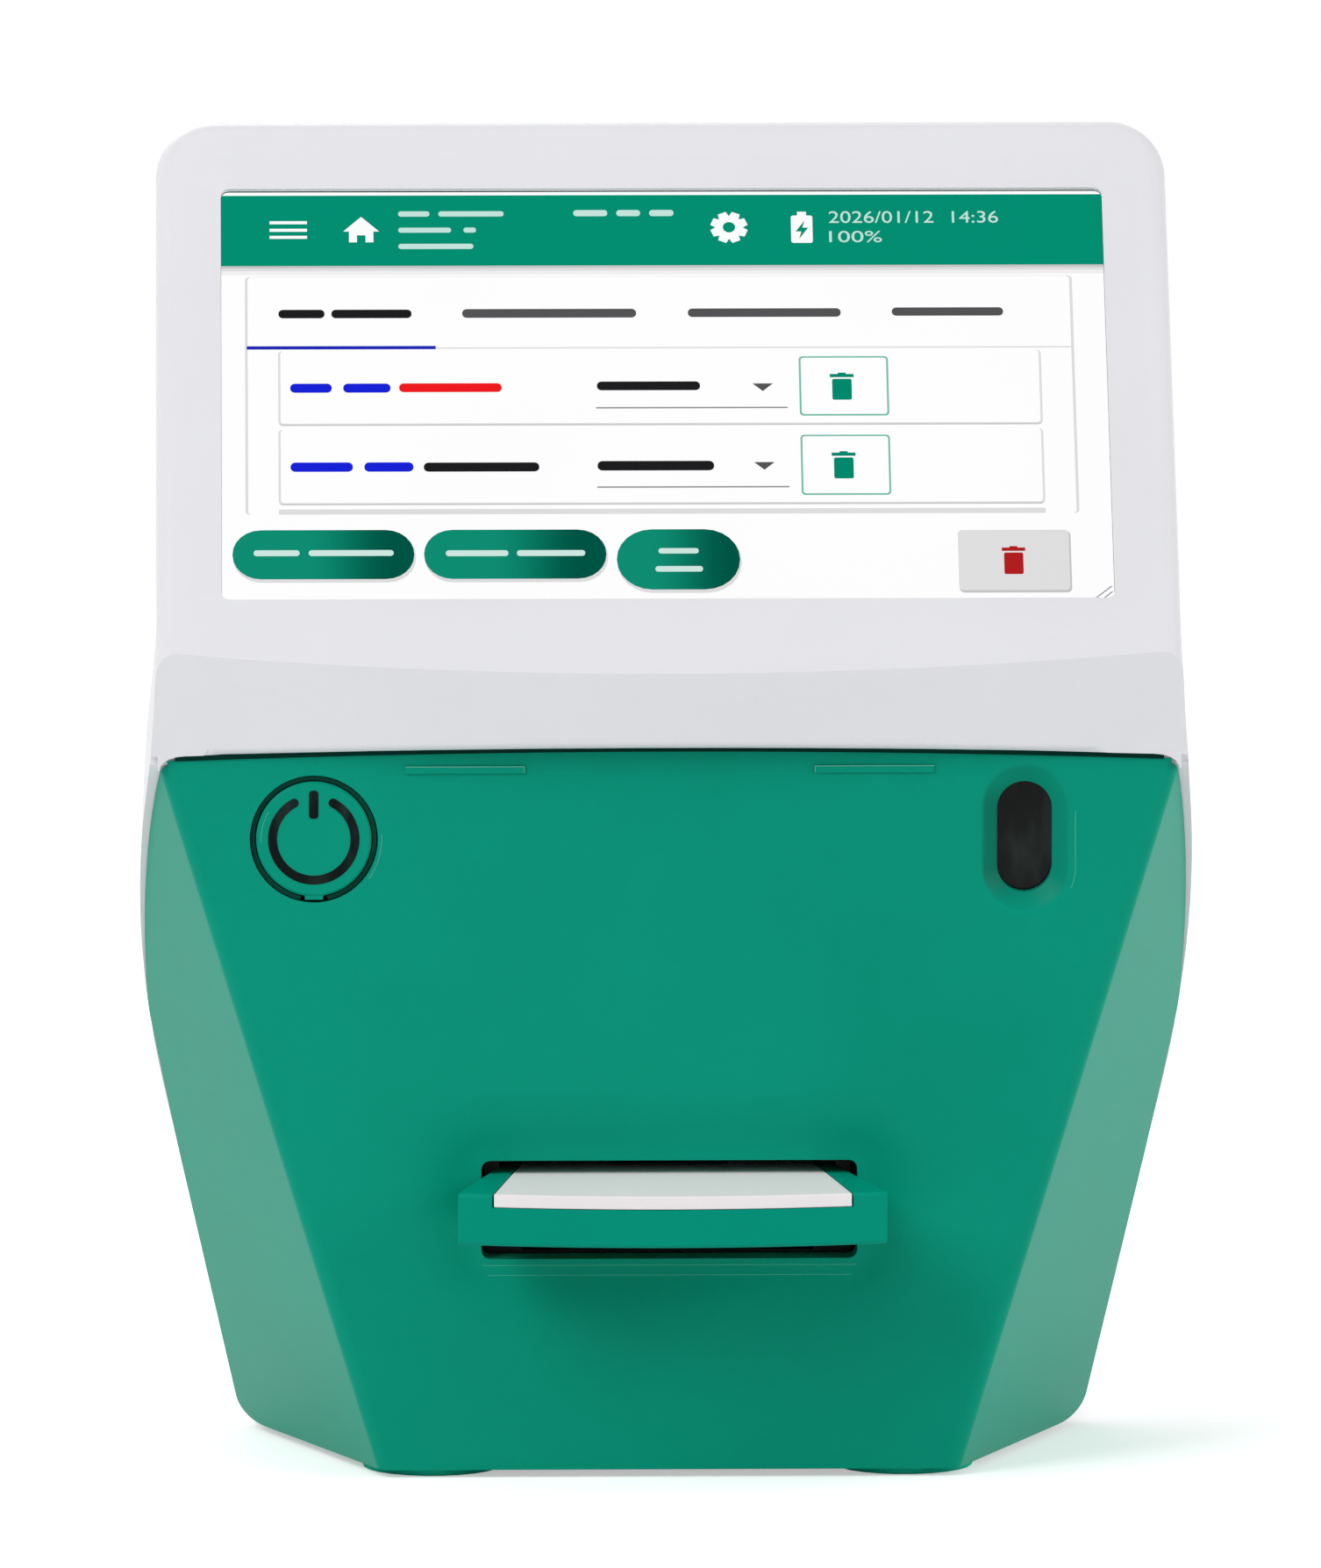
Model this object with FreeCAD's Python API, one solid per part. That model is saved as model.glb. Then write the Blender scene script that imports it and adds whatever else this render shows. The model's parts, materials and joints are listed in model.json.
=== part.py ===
import FreeCAD, Part
import math
import os

# Desktop rapid test reader: a moulded white housing with a tilted touch screen,
# a green faceted front cover with a pull-out cassette drawer, a power button and
# a scan window. Millimetres, +X right, front towards -Y, +Z up.
# Every piece is drawn with the flat green front face at y = 0 and is moved at the
# end, so that the origin lies under the middle of the whole object.

Vec = FreeCAD.Vector

# Overall body
body_depth = 172.0
body_bottom = 1.4
wall = 2.4
overrun = 30.0
seam_gap = 0.4
part_gap = 0.3

# Front view of the housing
head_half = 89.2
flare_out = 3.1
flare_drop = 46.0
straight_rise = 5.0
flare_radius = 165.0
taper_angle = 12.4
edge_radius = 3.5

# Side view of the head
screen_tilt = 39.0
chin_side_y = -2.0
chin_side_z = 145.0
chin_proud = 4.9
bow_inset = 4.2
undercut = 1.2
screen_length = 111.6
crown_radius = 10.0
crown_cut_share = 0.6
bottom_corner = 5.4
top_slope = 8.0
rear_radius = 48.0
hood_band = 18.1
hood_arch = 1.6
hood_gap = 0.8
rear_cover_depth = 44.0

# Screen frame, measured up the tilted face from the chin
recess_side = 5.2
recess_low = 6.7
recess_high = 7.1
recess_corner = 6.2
window_side = 6.2
window_low = 5.5
window_high = 6.0
window_corner = 1.4
recess_depth = 1.5
frame_lip = 0.8

# Green front cover
crease_inset = 0.9
crease_drop = 1.4
crease_rate = 0.3063
facet_rate = 0.40
crease_radius = 3.0
white_edge = 2.0
seam_shares = (1.0, 0.84, 0.617, 0.31, 0.0)
seam_edge_shares = (1.0, 0.45, -0.15, -0.15, -0.15)
tongue_half = 46.0
tongue_inner_half = 14.0
tongue_rise = 4.0
tongue_set_back = 0.8
rib_width = 20.8
rib_height = 1.3
rib_proud = 0.35
rib_x = 35.6
rib_drop = 2.4

# Drawer slot and its dished surround
slot_width = 65.6
slot_height = 17.3
slot_z = 47.0
slot_corner = 1.5
dish_side = 9.2
dish_rise = 9.55
dish_depth = 1.5
dish_corner = 14.0
dish_inner_side = 2.7
dish_inner_rise = 2.6
dish_inner_corner = 4.0
collar_wall = 2.0
collar_depth = 8.5

# Power button
button_inset = 22.4
button_drop = 14.5
button_hole_radius = 11.15
button_radius = 10.05
button_thickness = 2.2
button_web_width = 3.2
button_web_thickness = 1.5
button_web_gap = 0.5
button_edge = 0.4
button_stem_radius = 2.0
button_stem_length = 1.6
button_press_gap = 0.8
button_board_width = 13.0
button_board_height = 34.0
board_thickness = 1.6
switch_size = 6.2
switch_height = 3.4
switch_plunger_radius = 1.7
switch_plunger_height = 0.9
post_radius = 2.6

# Scan window
scan_inset = 22.4
scan_drop = 14.6
scan_dish_width = 15.4
scan_dish_height = 26.0
scan_dish_depth = 2.2
scan_window_width = 9.6
scan_window_height = 19.4
pane_margin = 1.6
pane_thickness = 1.5
engine_width = 16.0
engine_height = 22.0
engine_depth = 13.0
engine_gap = 0.3
engine_eye_radius = 4.2
bracket_sheet = 1.2
scan_post_spacing = 37.0
scan_bracket_width = 25.2

# Drawer
drawer_reach = 22.0
drawer_bow = 5.0
drawer_flare = 4.4
drawer_mouth_gap = 0.7
drawer_shoulder_y = 14.0
drawer_narrowing = 3.8
drawer_tail = 33.0
drawer_drop = 2.8
drawer_height = 9.1
drawer_floor = 2.2
drawer_rear_wall = 5.0
drawer_edge = 0.5
carrier_front_inset = 6.2
carrier_run_inset = 3.4
carrier_lip = 2.3
carrier_lip_length = 8.0
carrier_gap = 0.3
carrier_end_length = 11.0
well_length = 71.0
well_width = 21.0
well_depth = 5.0
well_start_y = 14.0
well_corner = 1.5
scoop_radius = 9.0
magnet_radius = 2.9
magnet_clearance = 0.1
magnet_length = 3.0
lug_width = 6.0
lug_drop = 3.0
lug_length = 4.0
lug_x = 16.0
flag_width = 1.2
flag_drop = 4.0

# Drawer guide
guide_wall = 2.5
guide_floor_drop = 6.2
guide_clearance = 0.5
rail_gap = 0.3
rail_width = 4.0
keeper_flange = 3.0
keeper_height = 2.0
guide_front_y = 15.0
guide_leg_length = 10.0
guide_foot_length = 9.0
guide_foot_height = 3.0
keeper_plate_width = 16.0
keeper_plate_height = 7.0
keeper_plate_thickness = 1.2
fork_width = 8.0
fork_depth = 6.0
fork_gap = 3.0
fork_base = 1.2

# Camera tower above the drawer
tower_wall = 2.0
tower_flange = 2.0
tower_side = 3.0
tower_base_length = 74.0
tower_top_width = 32.0
tower_height = 52.0
tower_shelf = 9.0
lens_radius = 7.0
lens_clearance = 0.3
lens_length = 16.0
lens_rim = 1.6
lens_glass_radius = 4.5
camera_board_width = 30.0
light_board_width = 6.0
light_board_margin = 4.0
light_count = 6
light_size = 3.0
light_height = 1.2

# Screen stack behind the frame
gasket_thickness = 0.3
glass_side = 2.7
glass_rise = 4.55
glass_thickness = 1.8
glass_corner = 3.0
panel_inset = 1.1
panel_thickness = 5.0
stack_gap = 0.1
sheet_thickness = 1.2
sheet_overlap = 3.5
sheet_hole_width = 60.0
sheet_hole_height = 40.0
screen_post_radius = 2.6
display_board_width = 78.0
display_board_lift = 4.0

# Base, feet and fasteners
base_thickness = 2.5
foot_radius = 12.5
foot_front_inset = 9.0
foot_front_y = 14.2
foot_rear_inset = 19.5
foot_rear_y = 20.0
foot_edge = 0.4
screw_radius = 1.5
screw_clearance = 0.1
screw_head_radius = 2.8
screw_head_height = 1.6
screw_socket_radius = 1.3
screw_socket_web = 0.6
screw_length = 8.0
boss_radius = 3.6
boss_height = 12.0
base_boss_inset = 7.6
base_boss_front_y = 70.0
base_boss_back = 8.0
rear_boss_inset = 12.0
rear_boss_low = 30.0
rear_boss_length = 16.0

# Main board and sockets
main_board_inset = 15.9
main_board_front_y = 62.0
main_board_z = 12.0
standoff_radius = 3.0
standoff_inset = 5.0
chip_size = 22.0
chip_height = 1.8
sink_height = 9.0
sink_fin = 1.2
sink_fins = 7
sink_foot = 1.6
socket_gap = 0.3
socket_proud = 0.4
usb_width = 13.2
usb_height = 5.8
usb_depth = 14.0
usb_wall = 0.5
usb_tongue = 1.9
usb_xs = (-14.0, 6.0)
network_share = 0.533
network_width = 16.0
network_height = 13.5
network_depth = 21.0
network_mouth_width = 11.8
network_mouth_height = 8.2
network_mouth_depth = 12.0
network_sill = 2.2
inlet_share = 0.7
inlet_size = 11.0
inlet_depth = 14.0
inlet_bore_radius = 3.2
inlet_pin_radius = 1.0

# Battery and speaker
battery_width = 68.0
battery_depth = 32.0
battery_height = 19.0
cradle_wall = 1.6
cradle_rim = 8.0
cradle_clearance = 0.3
strap_width = 16.0
strap_sheet = 1.0
strap_foot = 5.6
speaker_radius = 14.0
speaker_height = 6.0
speaker_x = 44.0
speaker_z = 118.0
speaker_ring = 1.6
speaker_ring_height = 3.0
grille_slot = 2.0
grille_pitch = 4.4
grille_count = 5
vent_slot = 2.2
vent_pitch = 6.0
vent_count = 7
vent_length = 26.0
vent_x = -38.0
vent_z = 112.0

# Sizes and places that follow from the values above
tilt = math.radians(screen_tilt)
taper = math.radians(taper_angle)
slope = math.radians(top_slope)
tip = overrun * 4
front_y = (drawer_reach + drawer_bow - body_depth) / 2
rear_split = body_depth - rear_cover_depth
base_top = body_bottom + base_thickness
flare_half = head_half + flare_out
flare_z = chin_side_z - flare_drop
head_straight_z = chin_side_z + straight_rise
bow_half = head_half - bow_inset
hood_side_z = chin_side_z - hood_band
crease_top_half = head_half - crease_inset
crease_top_z = hood_side_z - crease_drop
rib_z = hood_side_z - rib_drop
recess_width = (head_half - recess_side) * 2
recess_height = screen_length - recess_low - recess_high
recess_middle = recess_low + recess_height / 2
window_width = recess_width - window_side * 2
window_height = recess_height - window_low - window_high
window_middle = recess_low + window_low + window_height / 2
glass_width = window_width + glass_side * 2
glass_height = window_height + glass_rise * 2
dish_width = slot_width + dish_side * 2
dish_height = slot_height + dish_rise * 2
dish_inner_width = slot_width + dish_inner_side * 2
dish_inner_height = slot_height + dish_inner_rise * 2
button_z = hood_side_z - button_drop
scan_z = hood_side_z - scan_drop
drawer_front_half = slot_width / 2 + drawer_flare
drawer_run_half = slot_width / 2 - drawer_narrowing
drawer_travel = well_start_y + well_length
drawer_rear_y = drawer_travel + drawer_tail
drawer_bottom = slot_z - drawer_drop
drawer_top = drawer_bottom + drawer_height
carrier_front_half = drawer_front_half - carrier_front_inset
carrier_run_half = drawer_run_half - carrier_run_inset
carrier_end_y = drawer_travel + carrier_end_length
guide_floor_top = drawer_bottom - guide_floor_drop
tower_middle_y = guide_front_y + tower_base_length / 2
tower_base_width = (drawer_run_half - tower_side) * 2
tower_window_width = tower_base_width - tower_shelf * 2
light_board_length = tower_base_length - light_board_margin * 2


# Basic shapes

def box(x0, x1, y0, y1, z0, z1):
    return Part.makeBox(x1 - x0, y1 - y0, z1 - z0, Vec(x0, y0, z0))


def rod(radius, start, end):
    along = end - start
    return Part.makeCylinder(radius, along.Length, start, along)


def flat_face(points):
    return Part.Face(Part.makePolygon(points + points[:1]))


def frustum(low, high):
    """The solid between two flat outlines with the same number of points and parallel sides."""
    faces = [flat_face(low), flat_face(high)]
    for p, q, r, t in zip(low, low[1:] + low[:1], high[1:] + high[:1], high):
        faces.append(flat_face([p, q, r, t]))
    solid = Part.Solid(Part.Shell(faces))
    return solid if solid.Volume > 0 else solid.reversed()


def around(centre, along, radius, sides):
    """The corners of a regular outline across a direction."""
    across = along.cross(Vec(0, 0, 1) if abs(along.z) < along.Length / 2 else Vec(1, 0, 0)).normalize()
    other = along.cross(across).normalize()
    turns = [math.pi * (2 * i + 1) / sides for i in range(sides)]
    return [centre + across * radius * math.cos(t) + other * radius * math.sin(t) for t in turns]


def prism(radius, start, end, sides=8):
    """A rod with flat sides, for the small pieces and holes that repeat."""
    return flat_face(around(start, end - start, radius, sides)).extrude(end - start)


def face_of(place, path):
    """A closed outline: 2 numbers are a line's end, 4 are an arc's middle and end."""
    here = place(*path[0])
    first = here
    edges = []
    for step in path[1:]:
        end = place(*step[-2:])
        if (end - here).Length > seam_gap * 1e-4:
            if len(step) == 4:
                edges.append(Part.Arc(here, place(*step[:2]), end).toShape())
            else:
                edges.append(Part.LineSegment(here, end).toShape())
            here = end
    if (first - here).Length > seam_gap * 1e-4:
        edges.append(Part.LineSegment(here, first).toShape())
    return Part.Face(Part.Wire(edges))


def both_sides(half):
    """Adds the mirror image to a half outline that starts and ends on the centre line."""
    path = list(half)
    for step, before in zip(reversed(half), reversed(half[:-1])):
        end = (-before[-2], before[-1])
        if len(step) == 4:
            path.append((-step[0], step[1]) + end)
        else:
            path.append(end)
    return path


def corner(before, at, after, radius):
    """The two steps that round a corner between straight lines."""
    into = Vec(at[0] - before[0], at[1] - before[1], 0).normalize()
    out = Vec(after[0] - at[0], after[1] - at[1], 0).normalize()
    turn = into.getAngle(out)
    reach = radius * math.tan(turn / 2)
    middle = (out - into).normalize() * (radius / math.cos(turn / 2) - radius)
    start = (at[0] - into.x * reach, at[1] - into.y * reach)
    end = (at[0] + out.x * reach, at[1] + out.y * reach)
    return [start, (at[0] + middle.x, at[1] + middle.y) + end]


def crossing(p, p_way, q, q_way):
    """Where two lines meet, each a point and a direction."""
    across = p_way[0] * q_way[1] - p_way[1] * q_way[0]
    t = ((q[0] - p[0]) * q_way[1] - (q[1] - p[1]) * q_way[0]) / across
    return (p[0] + p_way[0] * t, p[1] + p_way[1] * t)


class Flat:
    """A working plane: u and v lie in it, n points into the object."""

    def __init__(self, origin, u, v, n):
        self.origin = origin
        self.u = u
        self.v = v
        self.n = n

    def at(self, a, b, depth):
        return self.origin + self.u * a + self.v * b + self.n * depth

    def oblong(self, a, b, width, height, radius, depth, steps=3):
        """A rectangle whose corners are rounded in a few straight steps."""
        points = []
        for side, end, start in ((1, -1, 270), (1, 1, 0), (-1, 1, 90), (-1, -1, 180)):
            for i in range(steps + 1):
                turn = math.radians(start + 90 * i / steps)
                points.append(self.at(a + side * (width / 2 - radius) + radius * math.cos(turn),
                                      b + end * (height / 2 - radius) + radius * math.sin(turn), depth))
        return [p for p, q in zip(points, points[1:] + points[:1]) if (p - q).Length > seam_gap * 1e-3]

    def slab(self, a, b, width, height, radius, start, end, steps=3):
        face = flat_face(self.oblong(a, b, width, height, radius, start, steps))
        return face.extrude(self.n * (end - start))

    def post(self, a, b, radius, start, end):
        return prism(radius, self.at(a, b, start), self.at(a, b, end))


screen = Flat(Vec(0, chin_side_y, chin_side_z), Vec(1, 0, 0),
              Vec(0, math.sin(tilt), math.cos(tilt)), Vec(0, math.cos(tilt), -math.sin(tilt)))
front = Flat(Vec(0, 0, 0), Vec(1, 0, 0), Vec(0, 0, 1), Vec(0, 1, 0))
rear = Flat(Vec(0, body_depth, 0), Vec(1, 0, 0), Vec(0, 0, 1), Vec(0, -1, 0))
ground = Flat(Vec(0, 0, 0), Vec(1, 0, 0), Vec(0, 1, 0), Vec(0, 0, 1))


def dished(plane, a, b, outer, inner, depth, steps=6):
    """A shallow dish between two oblongs, each width, height and corner radius."""
    return frustum(plane.oblong(a, b, outer[0], outer[1], outer[2], 0, steps),
                   plane.oblong(a, b, inner[0], inner[1], inner[2], depth, steps))


def each(places, make):
    """Copies of one piece, kept as separate solids."""
    return Part.makeCompound([make(*place) for place in places])


def bore(radius, start, end):
    """A prism that clears a rod of this radius."""
    return prism(radius / math.cos(math.pi / 8), start, end)


def screw(start, way, length=screw_length, sides=6):
    """A screw whose head bears on start, with its shank along way."""
    head = prism(screw_head_radius, start, start - way * screw_head_height, sides)
    return head.fuse(prism(screw_radius, start, start + way * length, 6))


def socket_screw(start, way, length=screw_length):
    """The same with a rounder head and a hexagon socket, where it shows outside."""
    socket = prism(screw_socket_radius, start - way * screw_socket_web, start - way * tip, 6)
    return screw(start, way, length, 12).cut(socket)


def screw_hole(start, way, length=screw_length):
    return bore(screw_radius + screw_clearance, start - way * overrun, start + way * (length + part_gap))


# Housing surfaces

flare_centre = (flare_half - flare_radius, flare_z)
flare_turn = 2 * math.atan((flare_half - head_half) / (head_straight_z - flare_z))
waist_radius = (head_straight_z - flare_z) / math.sin(flare_turn) - flare_radius


def taper_half(z, inset=0):
    """Half width of the straight lower side at a height."""
    top_x = flare_centre[0] + (flare_radius - inset) * math.cos(taper)
    top_z = flare_z - (flare_radius - inset) * math.sin(taper)
    return top_x - (top_z - z) * math.tan(taper)


def side_half(z):
    """Half width of the outer side up to the hood."""
    if z < flare_z - flare_radius * math.sin(taper):
        return taper_half(z)
    if z < flare_z + flare_radius * math.sin(flare_turn):
        return flare_centre[0] + math.sqrt(flare_radius ** 2 - (z - flare_z) ** 2)
    return head_half + waist_radius - math.sqrt(waist_radius ** 2 - (z - head_straight_z) ** 2)


def body_prism(inset, low, y0, y1, low_radius=0):
    """The front view outline, carried from y0 to y1."""
    round_r = flare_radius - inset
    hollow_r = waist_radius + inset
    half_turn = flare_turn / 2
    top = chin_side_z + tip
    foot_end = (taper_half(low, inset), low)
    taper_end = (flare_centre[0] + round_r * math.cos(taper), flare_z - round_r * math.sin(taper))
    low_side = corner((0, low), foot_end, taper_end, low_radius) if low_radius else [foot_end]
    half = [
        (0, low), *low_side, taper_end,
        (flare_half - inset, flare_z,
         flare_centre[0] + round_r * math.cos(flare_turn), flare_z + round_r * math.sin(flare_turn)),
        (head_half + waist_radius - hollow_r * math.cos(half_turn),
         head_straight_z - hollow_r * math.sin(half_turn), head_half - inset, head_straight_z),
        (head_half - inset, top), (0, top)]
    face = face_of(lambda a, b: Vec(a, y0, b), both_sides(half))
    return face.extrude(Vec(0, y1 - y0, 0))


def side_prism(inset, screen_inset, low):
    """The side view outline of the white housing, carried across the whole width."""
    start = (chin_side_y + screen_inset * math.cos(tilt), chin_side_z - screen_inset * math.sin(tilt))
    way = (math.sin(tilt), math.cos(tilt))
    crest = (chin_side_y + screen_length * way[0], chin_side_z + screen_length * way[1])
    top_way = (math.cos(slope), -math.sin(slope))
    top_start = (crest[0], crest[1] - inset / math.cos(slope))
    nose = crossing(start, way, top_start, top_way)
    tail = crossing(top_start, top_way, (body_depth - inset, 0), (0, 1))
    chin = crossing(start, way, (inset - chin_proud, 0), (0, 1))
    path = [(chin[0], low), chin]
    path.append(nose)
    path += corner(nose, tail, (tail[0], low), rear_radius - inset)
    path += [(tail[0], low)]
    face = face_of(lambda a, b: Vec(-tip, a, b), path)
    return face.extrude(Vec(tip * 2, 0, 0))


def ahead_of_bow(shift):
    """Everything in front of the bowed, slightly undercut lower band of the hood."""
    low_z = -overrun
    high_z = chin_side_z + overrun
    rate = undercut / (chin_side_z - hood_side_z)
    reach = bow_half + overrun / 2
    sag = (chin_proud + chin_side_y) * (reach / bow_half) ** 2
    y0 = shift - chin_proud + rate * (chin_side_z - low_z)
    path = [(-reach, y0 + sag), (0, y0, reach, y0 + sag), (reach, y0 - tip), (-reach, y0 - tip)]
    face = face_of(lambda a, b: Vec(a, b, low_z), path)
    return face.extrude(Vec(0, -rate * (high_z - low_z), high_z - low_z))


def crease_half(z):
    return crease_top_half - crease_rate * (crease_top_z - z)


def beyond_facet(side, inset):
    """The space outside one slanting facet of the front cover."""
    along = Vec(crease_rate, 0, 1)
    back = Vec(facet_rate, 1, 0)
    normal = back.cross(along)
    shift = inset * normal.Length / abs(normal.x)
    origin = Vec(crease_half(0) - shift, 0, 0)
    points = [origin - along * tip - back * tip, origin + along * tip * 2 - back * tip,
              origin + along * tip * 2 + back * tip, origin - along * tip + back * tip]
    solid = flat_face(points).extrude(Vec(tip * 3, 0, 0))
    return solid if side > 0 else solid.mirror(Vec(0, 0, 0), Vec(1, 0, 0))


def cover_zone(gap, top_gap):
    """The space of the green front cover: below the hood's arch and ahead of the side seam."""
    points = []
    for share, edge_share in zip(seam_shares, seam_edge_shares):
        z = body_bottom + (crease_top_z - body_bottom) * share
        depth = (side_half(z) - white_edge * edge_share - crease_half(z)) / facet_rate
        points.append((max(depth, wall / 4) - gap, z - gap / 2))
    low_depth = points[4][0] + (points[4][1] + overrun) * crease_rate / 2
    path = [(-overrun, -overrun), (-overrun, crease_top_z + overrun),
            (points[0][0], crease_top_z + overrun), points[0],
            points[1] + points[2], points[3] + points[4], (low_depth, -overrun)]
    face = face_of(lambda a, b: Vec(-tip, a, b), path)
    arch_drop = hood_arch * (tip / head_half) ** 2
    peak = hood_side_z + hood_arch - top_gap
    arch = face_of(lambda a, b: Vec(a, -overrun, b),
                   [(-tip, -overrun), (-tip, peak - arch_drop), (0, peak, tip, peak - arch_drop),
                    (tip, -overrun)])
    return face.extrude(Vec(tip * 2, 0, 0)).common(arch.extrude(Vec(0, tip * 2, 0)))


base_boss_x = taper_half(base_top) - base_boss_inset
main_board_half = taper_half(main_board_z) - main_board_inset
network_x = main_board_half * network_share
inlet_x = -main_board_half * inlet_share
button_x = button_inset - crease_half(button_z)
scan_x = crease_half(scan_z) - scan_inset
foot_points = [(side * (crease_half(body_bottom) - foot_front_inset), foot_front_y) for side in (-1, 1)]
foot_points += [(side * (taper_half(body_bottom) - foot_rear_inset), body_depth - foot_rear_y)
                for side in (-1, 1)]


def edges_where(shape, wanted):
    return [edge for edge in shape.Edges if wanted(edge)]


def crown_edges(solid):
    """The top edges of both sides, which run on into the rear ones."""
    def on_crown(edge):
        bound = edge.BoundBox
        runs_back = bound.ZLength < bound.YLength / 2 and bound.XLength < seam_gap
        return runs_back and bound.Center.z > head_straight_z + flare_drop / 2

    return edges_where(solid, on_crown)


def inner_block(inset, screen_inset):
    """The housing's space inside a wall, with its corners cut flat behind the crown."""
    solid = body_prism(inset, body_bottom - overrun, -overrun, body_depth + overrun)
    solid = solid.common(side_prism(inset, screen_inset, body_bottom - overrun))
    return solid.makeChamfer((crown_radius - wall) * crown_cut_share, crown_edges(solid))


def white_body():
    """The whole white housing as one solid, before it is hollowed and split."""
    solid = body_prism(0, body_bottom, -overrun, body_depth + overrun)
    solid = solid.common(side_prism(0, 0, body_bottom - overrun))
    solid = solid.makeFillet(crown_radius, crown_edges(solid)).cut(ahead_of_bow(0))

    def on_rim(edge):
        bound = edge.BoundBox
        ahead = bound.Center.y < (bound.Center.z - chin_side_z) * math.tan(tilt) + edge_radius
        return abs(bound.Center.x) > head_half / 2 and bound.XLength < head_half and ahead

    solid = solid.makeFillet(edge_radius, edges_where(solid, on_rim))
    return solid.common(body_prism(0, body_bottom, -tip, body_depth, bottom_corner))


def white_hollow(inset):
    return inner_block(inset, recess_depth + frame_lip).cut(ahead_of_bow(inset))


def cover_body():
    solid = body_prism(0, body_bottom, 0, body_depth / 2, bottom_corner)
    for side in (-1, 1):
        solid = solid.cut(beyond_facet(side, 0))
    creases = edges_where(solid, lambda e: e.BoundBox.YMax < seam_gap
                          and e.BoundBox.XLength > seam_gap and e.BoundBox.ZLength > crease_top_z / 2)
    return solid.makeFillet(crease_radius, creases)


def cover_hollow(inset):
    solid = body_prism(inset, body_bottom - overrun, inset, body_depth)
    for side in (-1, 1):
        solid = solid.cut(beyond_facet(side, inset))
    return solid


# Housing shells

outer_white = white_body()
white_skin = outer_white.cut(white_hollow(wall)).cut(cover_zone(0, 0))
base_boss_points = [(side * base_boss_x, y) for side in (-1, 1)
                    for y in (base_boss_front_y, rear_split - base_boss_back)]
rear_bosses = [(side * (side_half(z) - rear_boss_inset), z)
               for side in (-1, 1) for z in (rear_boss_low, head_straight_z)]
screen_post_x = glass_width / 2 + part_gap + screen_post_radius
screen_post_rise = glass_height / 2.6
screen_posts = [(side * screen_post_x, window_middle + end * screen_post_rise)
                for side in (-1, 1) for end in (-1, 1)]
glass_face = recess_depth + frame_lip + gasket_thickness
panel_back = glass_face + glass_thickness + stack_gap + panel_thickness
sheet_front = panel_back + stack_gap


def behind(y):
    return box(-tip, tip, y, body_depth + tip, -tip, tip * 3)


def upper_housing():
    shell = white_skin.cut(behind(rear_split))
    shell = shell.cut(dished(screen, 0, recess_middle,
                             (recess_width, recess_height, recess_corner),
                             (window_width, window_height, window_corner), recess_depth))
    shell = shell.cut(screen.slab(0, window_middle, window_width, window_height, window_corner,
                                  -wall, glass_face * 2))
    added = []
    for x, y in base_boss_points:
        wall_x = math.copysign(taper_half(base_top + boss_height), x)
        added.append(prism(boss_radius, Vec(x, y, base_top), Vec(x, y, base_top + boss_height)))
        added.append(box(min(x, wall_x), max(x, wall_x), y - wall / 2, y + wall / 2,
                         base_top, base_top + boss_height))
    for x, z in rear_bosses:
        wall_x = math.copysign(side_half(z), x)
        start = rear_split - rear_boss_length
        added.append(prism(boss_radius, Vec(x, start, z), Vec(x, body_depth - wall, z)))
        added.append(box(min(x, wall_x), max(x, wall_x), start, rear_split - part_gap,
                         z - wall / 2, z + wall / 2))
    for x, rise in screen_posts:
        added.append(screen.post(x, rise, screen_post_radius, recess_depth, sheet_front))
        reach = math.copysign(head_half, x)
        added.append(screen.slab((x + reach) / 2, rise, abs(reach - x), wall, 0.0,
                                 recess_depth, sheet_front))
    shell = shell.fuse([piece.common(outer_white) for piece in added])
    holes = [screw_hole(Vec(x, y, base_top - screw_head_height), Vec(0, 0, 1)) for x, y in base_boss_points]
    holes += [screw_hole(Vec(x, body_depth - wall, z), Vec(0, -1, 0), screw_length + wall)
              for x, z in rear_bosses]
    holes += [bore(screw_radius + screw_clearance, screen.at(x, rise, sheet_front + wall),
                   screen.at(x, rise, sheet_front - screw_length + sheet_thickness - part_gap))
              for x, rise in screen_posts]
    return shell.cut(holes)


def grille(x, z, width, height, pitch, count):
    slots = []
    for i in range(count):
        at = z + (i - (count - 1) / 2) * pitch
        slots.append(front.slab(x, at, width, height, 0, body_depth - wall * 2, body_depth + wall))
    return slots


def rear_cover():
    shell = white_skin.common(behind(rear_split + part_gap))
    face = Vec(speaker_x, body_depth - wall, speaker_z)
    rim = prism(speaker_radius + speaker_ring, face, face - Vec(0, speaker_ring_height, 0), 16)
    rim = rim.cut(prism(speaker_radius + part_gap, face, face - Vec(0, tip, 0), 16))
    cuts = grille(speaker_x, speaker_z, speaker_radius * 1.5, grille_slot, grille_pitch, grille_count)
    cuts += grille(vent_x, vent_z, vent_length, vent_slot, vent_pitch, vent_count)
    for x, z in rear_bosses:
        face = Vec(x, body_depth - wall, z)
        cuts.append(bore(screw_radius + screw_clearance, face, face + Vec(0, tip, 0)))
        cuts.append(prism(screw_head_radius + part_gap, face + Vec(0, wall - screw_head_height, 0),
                          face + Vec(0, tip, 0), 12))
    for x, z, width, height, radius in socket_mouths():
        cuts.append(front.slab(x, z, width + socket_gap * 2, height + socket_gap * 2, radius,
                               body_depth - wall * 2, body_depth + wall))
    return shell.fuse(rim).cut(cuts)


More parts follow.
